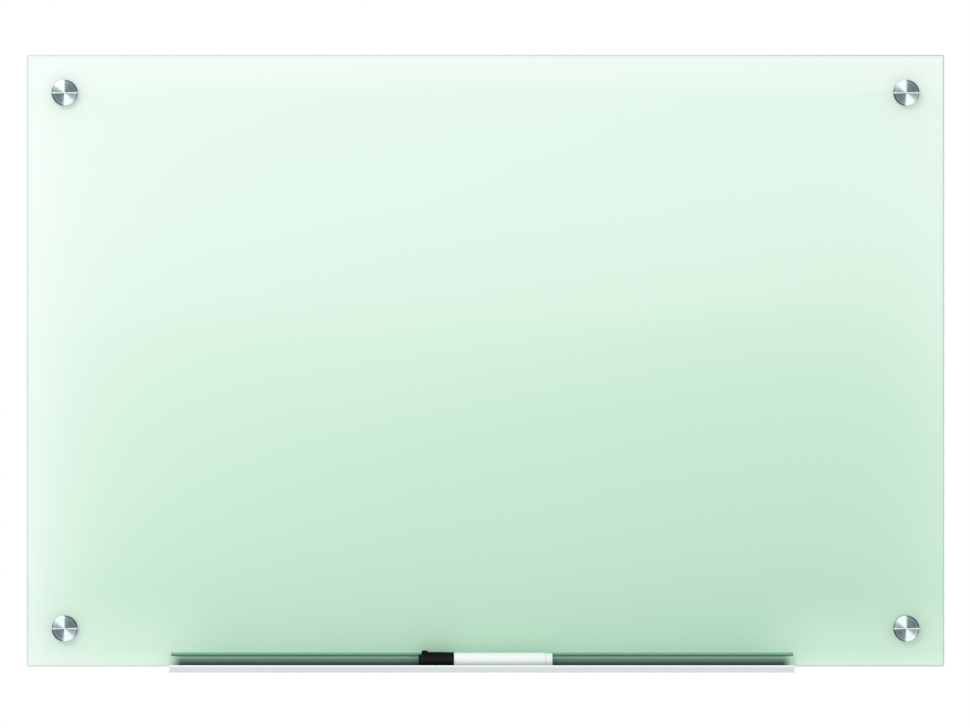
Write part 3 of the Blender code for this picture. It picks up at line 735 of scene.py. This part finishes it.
# %% The screw in the wall
SHANK, SCREW_PITCH, SCREW_THREAD = 2.1 * MM, 1.6 * MM, 0.6 * MM
POINT, POINT_START_SHARE, POINT_RADIUS_SHARE = 6 * MM, 0.9, 0.95
RECESS_DEPTH, RECESS_REACH, RECESS_RUN_OUT = 1.6 * MM, 2.4 * MM, 3.2 * MM
RECESS_HALF = 0.45 * MM


def add_wall_screw(corner):
    """The countersunk screw: a flat head, a cone below it and a threaded shank that runs out to a
    point. A point of the head lies in the recess where radius * min(|cos|, |sin|) of its angle is
    under half the width of an arm."""
    back, front = span("wall_screw_" + corner)
    head = width("wall_screw_" + corner) / 2
    angle = np.linspace(0, TURN, THREAD_SIDES, endpoint=False)
    face = np.linspace(0, head, 24)[:, None]
    from_arm = face * np.minimum(np.abs(np.cos(angle)), np.abs(np.sin(angle)))
    in_recess = (from_arm < RECESS_HALF) & (face < RECESS_REACH)
    deep = np.where(in_recess, RECESS_DEPTH * (1 - face / RECESS_RUN_OUT), 0)
    shank = np.linspace(front - (head - SHANK), back + POINT, 150)
    thread = thread_radius(shank, SHANK, SCREW_THREAD, SCREW_PITCH)
    taper = np.linspace(1, 0, 10)[:, None]
    all_round = np.ones((1, THREAD_SIDES))
    point = back + POINT * POINT_START_SHARE * taper
    tip = SHANK * POINT_RADIUS_SHARE * taper
    radius = np.concatenate([face * all_round, thread, tip * all_round])
    along = np.concatenate([front - deep, shank[:, None] * all_round, point * all_round])
    place = stand(corner)
    screw = turned("countersunk_screw_" + corner, radius, along, place, FORWARD, plated, THREAD_SIDES)
    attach(screw, "board")
    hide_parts("wall_screw_" + corner)


# %% A stud and a wall screw for each standoff
for corner in CORNERS:
    add_stud(corner)
    add_wall_screw(corner)

# %% [markdown]
# The barrel is bored from the front for the stud. Its floor is countersunk for the head of the
# screw, and its back is relieved for the collar of the plug. The bushing and the washer are rings.
# All three could be cylinders with holes cut in them, but a closed profile gives the wall and the
# bore at once.

# %% Profiles of the barrel, the bushing and the washer
BARREL_ROUND = 0.6 * MM
RELIEF, RELIEF_DEPTH = 5.8 * MM, 1.3 * MM
SCREW_HOLE, SCREW_SEAT = 2.5 * MM, 4.5 * MM
SEAT_BOTTOM, BARREL_FLOOR = 4 * MM, 6 * MM
SLEEVE, FLANGE = 6.2 * MM, 1.5 * MM


def barrel_profile(corner):
    front = span("standoff_barrel_" + corner)[1]
    outer = width("standoff_barrel_" + corner) / 2
    return [
        (BORE, front, HAIR),
        (outer, front, BARREL_ROUND),
        (outer, 0, BARREL_ROUND),
        (RELIEF, 0, HAIR),
        (RELIEF, RELIEF_DEPTH, 0),
        (SCREW_HOLE, RELIEF_DEPTH, 0),
        (SCREW_HOLE, SEAT_BOTTOM, 0),
        (SCREW_SEAT, BARREL_FLOOR, 0),
        (BORE, BARREL_FLOOR, 0),
    ]


def bushing_profile(corner):
    back, front = span("rear_bushing_" + corner)
    flange = width("rear_bushing_" + corner) / 2
    return [
        (BORE, front, HAIR),
        (SLEEVE, front, HAIR),
        (SLEEVE, back + FLANGE, 0),
        (flange, back + FLANGE, HAIR),
        (flange, back, HAIR),
        (BORE, back, HAIR),
    ]


def washer_profile(corner):
    back, front = span("front_washer_" + corner)
    outer = width("front_washer_" + corner) / 2
    return [(BORE, front, 0), (outer, front, HAIR), (outer, back, HAIR), (BORE, back, 0)]


# %% Turn the barrels, bushings and washers
RINGS = (
    ("turned_barrel_", "standoff_barrel_", barrel_profile, barrel_steel, "board"),
    ("flanged_bushing_", "rear_bushing_", bushing_profile, bushing_nylon, "board"),
    ("clear_washer_", "front_washer_", washer_profile, clear_plastic, "washer_"),
)
for corner in CORNERS:
    for name, node, profile, finish, body in RINGS:
        corners, place = profile(corner), stand(corner)
        ring = lathe(name + corner, corners, place, FORWARD, finish, steps=4, closed=True)
        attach(ring, body if body == "board" else body + corner)
        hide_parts(node + corner)

# %% [markdown]
# The plug that holds the screw in the wall has four ribs that lean like a harpoon, and a slot on
# each side. A real slot goes through to the bore, which would need a Boolean. Here the radius drops
# to the slot's floor instead, so the plug stays one turned surface.

# %% Mould the wall plugs
PLUG_SIDES, RIBS, PARTS = 120, 4, 4
COLLAR, NOSE, NOSE_TIP = 5 * MM, 5 * MM, 2 * MM
RIB_CREST, RIB_ROOT, RIB_FACE = 3.8 * MM, 3.2 * MM, 0.6 * MM
PLUG_BORE, BORE_END = 2.2 * MM, 2.4 * MM
SLOT_FLOOR, SLOT_HALF, SLOT_SETBACK = 2.6 * MM, 0.6 * MM, 0.2 * MM


def add_plug(corner):
    """The profile runs up the bore, out over the collar and down the outside: along each rib the
    radius grows to the crest and falls back at once, and it tapers along the nose. Each stretch has
    PARTS rows. Where the height |radius * sin(angle)| is under half the slot, the radius is cut
    down to the slot's floor."""
    back, front = span("wall_anchor_" + corner)
    ribs_end, bore_end = back + NOSE, back + BORE_END
    rib = ribs_end / RIBS
    along = [bore_end, bore_end, front, front, 0, 0]
    radius = [0, PLUG_BORE, PLUG_BORE, COLLAR, COLLAR, RIB_ROOT]
    for number in range(1, RIBS + 1):
        along += [number * rib + RIB_FACE, number * rib]
        radius += [RIB_CREST, RIB_ROOT]
    along, radius = along + [back, back], radius + [NOSE_TIP, 0]
    corners = np.arange(len(along))
    fine = np.linspace(0, corners[-1], PARTS * corners[-1] + 1)
    along, radius = np.interp(fine, corners, along), np.interp(fine, corners, radius)
    sine = np.sin(np.linspace(0, TURN, PLUG_SIDES, endpoint=False))
    whole = np.repeat(radius[:, None], PLUG_SIDES, axis=1)
    slot_rows = (along < rib - SLOT_SETBACK) & (along > ribs_end)
    in_slot = slot_rows[:, None] & (whole * np.abs(sine) < SLOT_HALF)
    whole = np.where(in_slot, np.minimum(whole, SLOT_FLOOR), whole)
    place = stand(corner)
    plug = turned("ribbed_plug_" + corner, whole, along, place, FORWARD, plug_nylon, PLUG_SIDES)
    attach(plug, "board")
    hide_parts("wall_anchor_" + corner)


for corner in CORNERS:
    add_plug(corner)
plug_back, cap_face = span("wall_anchor_top_left")[0], span("standoff_cap_top_left")[1]
print("standoffs reach from", round(plug_back, 4), "to", round(cap_face, 4))

# %% [markdown]
# ## The tray
# The tray is one drawn bar of aluminium. Its section has a slot that takes the edge of the glass, a
# coved trough and a lip that drops a little below the floor. Stacked boxes would look alike, but a
# drawn bar has a soft radius at every bend, which catches the light. So the section is an outline
# with rounded corners, carried along X.


# %% A drawn bar
def drawn_bar(name, corners, start, end, finish, steps=8):
    """A bar: each point (forward, height) of the closed outline runs from X = start to X = end, and
    a face closes each end."""
    outline = eased(corners, steps)
    stations = np.linspace(start, end, 9)
    grid = np.empty((len(stations), len(outline), 3))
    grid[..., 0] = stations[:, None]
    grid[..., 1] = -outline[:, 0]
    grid[..., 2] = outline[:, 1]
    return skin(name, grid, finish, end_faces=True)


# %% The section of the tray
GRIP, LEG, LIP = 10.4 * MM, 1.5 * MM, 1.8 * MM
LIP_DROP, FLOOR, LEG_RISE, LIP_RISE = 0.8 * MM, 2.2 * MM, 12 * MM, 4.1 * MM
HEEL, BEND, FOOT = 1 * MM, 0.7 * MM, 0.4 * MM
COVE, LIP_COVE, LIP_ROUND = 3 * MM, 1.5 * MM, 0.85 * MM
tray_low, tray_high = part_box("tray_extrusion")
REAR, LIP_FRONT = -tray_high[1], -tray_low[1]
TROUGH_BACK, TROUGH_FRONT = REAR + GRIP, LIP_FRONT - LIP
SLOT_BACK, SLOT_FRONT = REAR + LEG, TROUGH_BACK - LEG
LIP_BOTTOM, REAR_TOP = tray_low[2], tray_high[2]
FLOOR_BOTTOM = LIP_BOTTOM + LIP_DROP
FLOOR_TOP = FLOOR_BOTTOM + FLOOR
LEG_TOP, LIP_TOP = FLOOR_TOP + LEG_RISE, FLOOR_TOP + LIP_RISE
TRAY_CORNERS = [
    (REAR, FLOOR_BOTTOM, HEEL),
    (REAR, REAR_TOP, BEND),
    (SLOT_BACK, REAR_TOP, BEND),
    (SLOT_BACK, FLOOR_TOP, HAIR),
    (SLOT_FRONT, FLOOR_TOP, HAIR),
    (SLOT_FRONT, LEG_TOP, BEND),
    (TROUGH_BACK, LEG_TOP, BEND),
    (TROUGH_BACK, FLOOR_TOP, COVE),
    (TROUGH_FRONT, FLOOR_TOP, LIP_COVE),
    (TROUGH_FRONT, LIP_TOP, LIP_ROUND),
    (LIP_FRONT, LIP_TOP, LIP_ROUND),
    (LIP_FRONT, LIP_BOTTOM, FOOT),
    (TROUGH_FRONT, LIP_BOTTOM, FOOT),
    (TROUGH_FRONT, FLOOR_BOTTOM, FOOT),
]
print("trough:", round((TROUGH_FRONT - TROUGH_BACK) / MM, 1), "mm wide")

# %% [markdown]
# Satin anodised aluminium is pale and soft, with a grain drawn along the bar. A plain metal would
# mirror whatever room it is put in, and the round top of the lip would lose the bright line that it
# has in the photograph, so that line is a painted highlight.

# %% Satin aluminium
satin = Finish("satin anodised aluminium", "satin_aluminium", {})
drawn = satin.grain((3.0, 2600.0, 2600.0), 3.0)
brightness = 0.6 * satin.grain((1.2, 40.0, 40.0)) + 0.4 * drawn
metal_and_highlight = satin.mix(brightness, seen(208, 216, 216), seen(222, 229, 229))
# A painted highlight along the round top of the lip.
lip_highlight = satin.step(satin.z, LIP_TOP - 1.8 * MM, LIP_TOP - 0.9 * MM)
on_lip = satin.step(satin.y, -TROUGH_FRONT + 1 * MM, -TROUGH_FRONT)
metal_and_highlight = satin.mix(lip_highlight * on_lip, metal_and_highlight, seen(244, 252, 251))
satin.paint("Roughness", 0.34 + 0.14 * drawn)
satin.emboss(drawn, 0.006 * MM)

# %% [markdown]
# The wall of the trough, just in front of the glass, carries painted shade and a painted reflection
# of the dim inside of the trough and the green of the pane: it is mint grey at the top, nearly
# black at the bottom, and painted light at both open ends. That is painted on this wall alone, and
# fades out where the cove begins.

# %% Painted shade and reflection on the wall of the trough
# Painted shade and reflection on the wall, from low on the wall up to the top of the leg.
WALL_SHADE_STOPS = [
    (0.0, seen(16, 28, 26)),
    (0.2, seen(26, 44, 40)),
    (0.36, seen(58, 84, 76)),
    (0.54, seen(86, 119, 104)),
    (0.76, seen(112, 148, 128)),
    (0.86, seen(142, 184, 160)),
    (0.94, seen(104, 148, 122)),
    (1.0, seen(78, 118, 94)),
]
DIM_FROM = FLOOR_TOP + 2 * MM
wall_shade = satin.ramp((satin.z - DIM_FROM) / (LEG_TOP - DIM_FROM), WALL_SHADE_STOPS)
behind_trough = satin.step(satin.y, -TROUGH_BACK - 4 * MM, -TROUGH_BACK - 1 * MM)
before_slot = satin.step(satin.y, -SLOT_FRONT - 0.1 * MM, -SLOT_FRONT - 0.5 * MM)
on_wall = behind_trough * before_slot * satin.step(satin.z, FLOOR_TOP, DIM_FROM)
from_tray_end = satin.z.math("MINIMUM", satin.x - tray_low[0], tray_high[0] - satin.x)
# Painted light at both open ends of the trough.
open_end_light = satin.step(from_tray_end, 11 * MM, -2 * MM)
wall_shade = satin.mix(open_end_light, wall_shade, seen(202, 228, 214))
satin.paint("Base Color", satin.mix(on_wall, metal_and_highlight, wall_shade))
satin.paint("Metallic", 0.9 - 0.9 * on_wall)

# %% Draw the tray
tray = drawn_bar("tray_section", TRAY_CORNERS, tray_low[0], tray_high[0], satin)
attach(tray, "tray")
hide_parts("tray_extrusion")
print("tray:", round((tray_high[0] - tray_low[0]) / MM), "mm long")

# %% [markdown]
# A soft liner sits in the slot and grips the glass. Only its front bead shows, above the metal. It
# could be a strip laid on top, but a real liner is one U round the edge of the glass, and that is
# what shows at the open ends of the tray.

# %% The section of the liner
LINER, BEAD_GAP, LINER_GAP, LINER_SINK = 0.8 * MM, 0.3 * MM, 0.3 * MM, 1 * MM
LINER_ROUND = 0.3 * MM
liner_low, liner_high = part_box("tray_grip_liner")
LINER_BACK, BEAD_FRONT = -liner_high[1], -liner_low[1]
LINER_BOTTOM, BEAD_TOP = liner_low[2], liner_high[2]
LINER_FRONT, LINER_REAR_TOP = SLOT_FRONT - LINER_GAP, REAR_TOP - LINER_SINK
LINER_CORNERS = [
    (LINER_BACK, LINER_BOTTOM, LINER_ROUND),
    (LINER_BACK, LINER_REAR_TOP, LINER_ROUND),
    (LINER_BACK + LINER, LINER_REAR_TOP, LINER_ROUND),
    (LINER_BACK + LINER, LINER_BOTTOM + LINER, 0),
    (LINER_FRONT - LINER, LINER_BOTTOM + LINER, 0),
    (LINER_FRONT - LINER, BEAD_TOP, LINER_ROUND),
    (BEAD_FRONT, BEAD_TOP, BEND),
    (BEAD_FRONT, LEG_TOP + BEAD_GAP, LINER_ROUND),
    (LINER_FRONT, LEG_TOP + BEAD_GAP, 0),
    (LINER_FRONT, LINER_BOTTOM, LINER_ROUND),
]

# %% [markdown]
# The bead is green vinyl. Its top is painted light and it is painted darker towards the metal, with
# a dark line of painted shade where the two meet, so its colour follows the height alone. Faint
# streaks run along it, as on any strip that was pressed through a die.

# %% Green vinyl, and the liner made of it
# The green of the bead, with painted light on top and painted shade towards the metal.
BEAD_SHADE_STOPS = [
    (0.0, seen(56, 120, 82)),
    (0.2, seen(70, 136, 98)),
    (0.42, seen(102, 164, 130)),
    (0.75, seen(122, 172, 142)),
    (0.95, seen(160, 206, 176)),
]
vinyl = Finish("green vinyl", "liner_vinyl", {"IOR": 1.5})
bead_shade = vinyl.ramp((vinyl.z - LEG_TOP) / (BEAD_TOP - LEG_TOP), BEAD_SHADE_STOPS)
streaks = vinyl.grain((12.0, 900.0, 900.0))
vinyl.paint("Base Color", vinyl.mix(0.12 * streaks, bead_shade, seen(190, 226, 202)))
vinyl.paint("Roughness", 0.42 + 0.12 * streaks)
liner = drawn_bar("grip_liner_section", LINER_CORNERS, liner_low[0], liner_high[0], vinyl)
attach(liner, "tray")
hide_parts("tray_grip_liner")
print("liner:", round((liner_high[0] - liner_low[0]) / MM), "mm long")

# %% [markdown]
# ## The marker
# A marker is a set of turned shells on one axis: the cap, the barrel, the neck and nib inside the
# cap, and the plug at the end. They could be one shape with painted bands, but the cap comes off
# and shows what is inside. Their ends come from the boxes of the solid model.

# %% Where the marker lies
PEN_SIDES = 96
pen_low, pen_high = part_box("marker_barrel")
PEN_ORIGIN = (0.0, (pen_low[1] + pen_high[1]) / 2, (pen_low[2] + pen_high[2]) / 2)
PEN_RADIUS = (pen_high[2] - pen_low[2]) / 2
CAP_END, CAP_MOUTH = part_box("marker_cap")[0][0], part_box("marker_cap")[1][0]
PEN_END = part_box("marker_end_plug")[1][0]
NIB_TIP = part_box("marker_nib")[0][0]
print("marker:", round((PEN_END - CAP_END) / MM), "mm long")


def across_pen(finish):
    """The height over the marker's axis: 1 at the top of the barrel, and -1 at its underside."""
    return (finish.z - PEN_ORIGIN[2]) / PEN_RADIUS


# %% [markdown]
# The cap is black plastic with a soft sheen. One flat black would look like a hole in the picture,
# so a painted sheen makes it a little lighter along the middle, with painted shade above and below,
# and a fine moulded grain breaks up what it mirrors.

# %% Black plastic of the cap
# Black with a painted sheen along the middle and painted shade above and below.
BLACK_SHEEN_STOPS = [
    (0.0, seen(5, 6, 8)),
    (0.22, seen(5, 6, 9)),
    (0.34, seen(14, 15, 18)),
    (0.45, seen(30, 29, 34)),
    (0.65, seen(31, 30, 35)),
    (0.8, seen(18, 19, 21)),
    (0.92, seen(4, 9, 8)),
]
black = Finish("black plastic", "black_plastic", {"IOR": 1.4, "Specular IOR Level": 0.08})
texture = black.grain((1300.0, 1300.0, 1300.0), 3.0)
black_shade = black.ramp(0.5 + 0.5 * across_pen(black), BLACK_SHEEN_STOPS)
black.paint("Base Color", black.mix(0.12 * texture, black_shade, seen(44, 44, 48)))
black.paint("Roughness", 0.42 + 0.16 * texture)
black.emboss(texture, 0.012 * MM)

# %% [markdown]
# The barrel, the neck and the end plug are white and glossy, so their gloss is nearly all there is
# to see. Fine handling marks along the barrel keep it from looking like paper, and their undersides
# are painted a little darker as shade.

# %% White plastic of the barrel
white = Finish("white plastic", "white_plastic", {"IOR": 1.48})
handling = white.grain((500.0, 1500.0, 1500.0), 4.0)
# Painted shade: the underside is a little darker.
underside_shade = white.step(across_pen(white), -0.3, -1.0)
shell = white.mix(0.25 * handling, seen(248, 252, 253), seen(234, 240, 242))
white.paint("Base Color", white.mix(underside_shade, shell, seen(234, 240, 242)))
white.paint("Roughness", 0.22 + 0.14 * handling)

# %% [markdown]
# The cap has a wide shoulder, a slimmer crown and a wall that tapers slightly towards the mouth. It
# is turned like the rest, but the part of its wall that carries the lug needs many more rows.

# %% The outline of the marker's cap
SHOULDER = CAP_END + 2.6 * MM
TAPER_START = SHOULDER + 14 * MM
SHOULDER_RADIUS, TAPER_RADIUS, MOUTH_RADIUS = 8.2 * MM, 8.15 * MM, 7.9 * MM
CROWN_RADIUS, CAP_BORE, CAP_TOP = 5.5 * MM, 6.9 * MM, 1.5 * MM
SHOULDER_ROUND, CROWN_ROUND = 1.4 * MM, 0.8 * MM
cap_outline = eased([
    (0, SHOULDER + CAP_TOP, 0),
    (CAP_BORE, SHOULDER + CAP_TOP, 0.5 * MM),
    (CAP_BORE, CAP_MOUTH, HAIR),
    (MOUTH_RADIUS, CAP_MOUTH, 0.2 * MM),
    (TAPER_RADIUS, TAPER_START, 0),
    (SHOULDER_RADIUS, SHOULDER, SHOULDER_ROUND),
    (CROWN_RADIUS, SHOULDER, 0.3 * MM),
    (CROWN_RADIUS, CAP_END, CROWN_ROUND),
    (0, CAP_END, 0),
])
rows = np.linspace(TAPER_START, SHOULDER + 1.6 * MM, 28)
taper = np.interp(rows, [SHOULDER, TAPER_START], [SHOULDER_RADIUS, TAPER_RADIUS])
wall = np.stack([taper, rows], axis=-1)
from_taper = np.linalg.norm(cap_outline - (TAPER_RADIUS, TAPER_START), axis=1)
place = from_taper.argmin()
cap_outline = np.concatenate([cap_outline[:place], wall, cap_outline[place + 1:]])

# %% [markdown]
# The cap has a small lug on top that stops it rolling away. A lug could be a ball joined to the
# cap, but a joint shows a crease, and a moulded lug flows into the cap. So the radius of the cap
# swells there, over an ellipse of 7 by 6 mm on its unrolled wall, by the lug's height * sqrt(1 -
# lengthwise ** 2 - crosswise ** 2).

# %% Turn the cap, with its lug
LUG_HALF_LENGTH, LUG_HALF_WIDTH, LUG_HEIGHT = 3.5 * MM, 3 * MM, 1.6 * MM
LUG_MIDDLE, LUG_OUTSIDE = SHOULDER + 3.6 * MM, 7 * MM
angle = np.linspace(0, TURN, PEN_SIDES, endpoint=False)
from_top = (angle + math.pi) % TURN - math.pi
radius, along = cap_outline[:, :1], cap_outline[:, 1:]
lengthwise = (along - LUG_MIDDLE) / LUG_HALF_LENGTH
crosswise = from_top * SHOULDER_RADIUS / LUG_HALF_WIDTH
left_over = 1 - lengthwise ** 2 - crosswise ** 2
lug = LUG_HEIGHT * np.sqrt(np.clip(left_over, 0, 1)) * (radius > LUG_OUTSIDE)
pen_cap = turned("pen_cap_shell", radius + lug, along, PEN_ORIGIN, SIDEWAYS, black, PEN_SIDES)
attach(pen_cap, "pen_cap")
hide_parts("marker_cap")
print("lug:", round(lug.max() / MM, 2), "mm high")

# %% [markdown]
# The barrel is a plain tube. A plug with two grooves closes its end, and its spigot fits into the
# tube. The grooves could be dark painted lines, but cut ones are dark by themselves.

# %% The barrel and the end plug
BARREL_BORE, SPIGOT, CORE, BARREL_EASE = 6.5 * MM, 6.2 * MM, 5.4 * MM, 0.2 * MM
barrel_corners = [
    (BARREL_BORE, pen_high[0], HAIR),
    (PEN_RADIUS, pen_high[0], BARREL_EASE),
    (PEN_RADIUS, pen_low[0], BARREL_EASE),
    (BARREL_BORE, pen_low[0], HAIR),
]
pen_barrel = lathe(
    "pen_barrel_tube", barrel_corners, PEN_ORIGIN, SIDEWAYS, white, PEN_SIDES, steps=4, closed=True
)
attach(pen_barrel, "marker")
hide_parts("marker_barrel")

HEAD, SPIGOT_LENGTH, PLUG_WALL = 6.9 * MM, 8 * MM, 1.5 * MM
GROOVES, GROOVE_HALF = ((2.1 * MM, 0.4 * MM), (5.4 * MM, 0.7 * MM)), 0.5 * MM
head_radius, head_start = PEN_RADIUS - 0.5 * MM, PEN_END - HEAD
end_corners = [(0, PEN_END, 0), (head_radius, PEN_END, 0.8 * MM)]
for from_pen_end, deep in GROOVES:
    middle = PEN_END - from_pen_end
    end_corners += [
        (head_radius, middle + GROOVE_HALF, 0),
        (head_radius - deep, middle, 0.2 * MM),
        (head_radius, middle - GROOVE_HALF, 0),
    ]
end_corners += [
    (head_radius, head_start, HAIR),
    (SPIGOT, head_start, 0),
    (SPIGOT, head_start - SPIGOT_LENGTH, HAIR),
    (CORE, head_start - SPIGOT_LENGTH, HAIR),
    (CORE, PEN_END - PLUG_WALL, 0),
    (0, PEN_END - PLUG_WALL, 0),
]
end_plug = lathe("pen_end_plug_head", end_corners, PEN_ORIGIN, SIDEWAYS, white, PEN_SIDES)
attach(end_plug, "marker")
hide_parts("marker_end_plug")
print("barrel:", round((pen_high[0] - pen_low[0]) / MM), "mm long")

# %% [markdown]
# With the cap off, the white neck and the black nib show. The neck ends in a cone that holds the
# nib, and the nib is felt: dull, fibrous and rounded like a bullet. It could be a cone, but felt
# can't hold a sharp tip.

# %% The neck
NECK, CONE, CONE_TIP, CONE_EASE = 6.6 * MM, 8 * MM, 3.3 * MM, 0.4 * MM
NIB_HOLE, NIB_BACK = 2.5 * MM, CAP_MOUTH - 11.5 * MM
neck_low, neck_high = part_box("marker_neck")
neck_corners = [
    (CORE, neck_high[0], HAIR),
    (SPIGOT, neck_high[0], HAIR),
    (SPIGOT, CAP_MOUTH, 0),
    (NECK, CAP_MOUTH, HAIR),
    (NECK, neck_low[0] + CONE, CONE_EASE),
    (CONE_TIP, neck_low[0], CONE_EASE),
    (NIB_HOLE, neck_low[0], 0),
    (NIB_HOLE, NIB_BACK, 0),
    (CORE, NIB_BACK, 0),
]
neck = lathe("pen_neck_cone", neck_corners, PEN_ORIGIN, SIDEWAYS, white, steps=5, closed=True)
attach(neck, "marker")
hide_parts("marker_neck")
print("neck:", round((neck_high[0] - neck_low[0]) / MM), "mm long")

# %% The nib, and the core that feeds it
NIB_RADIUS, NIB_ROUND = 2.2 * MM, 2 * MM
felt = Finish("inked felt", "inked_felt", {"IOR": 1.3})
fibres = felt.grain((300.0, 4000.0, 4000.0), 4.0)
felt.paint("Base Color", felt.mix(fibres, seen(12, 12, 14), seen(44, 44, 48)))
felt.paint("Roughness", 0.8 + 0.15 * fibres)
felt.emboss(fibres, 0.08 * MM)
nib_corners = [
    (0, NIB_BACK, 0),
    (NIB_RADIUS, NIB_BACK, 0),
    (NIB_RADIUS, NIB_TIP, NIB_ROUND),
    (0, NIB_TIP, 0),
]
nib = lathe("pen_nib_tip", nib_corners, PEN_ORIGIN, SIDEWAYS, felt, around=48, steps=10)
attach(nib, "marker")
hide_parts("marker_nib")

core = Finish("reservoir fibre", "ink_fibre", {"IOR": 1.3})
strands = core.grain((60.0, 3000.0, 3000.0), 4.0)
core.paint("Base Color", core.mix(strands, seen(212, 212, 206), seen(236, 236, 230)))
core.paint("Roughness", 0.85 + 0.1 * strands)
core.emboss(strands, 0.05 * MM)
dress("marker_reservoir", core)
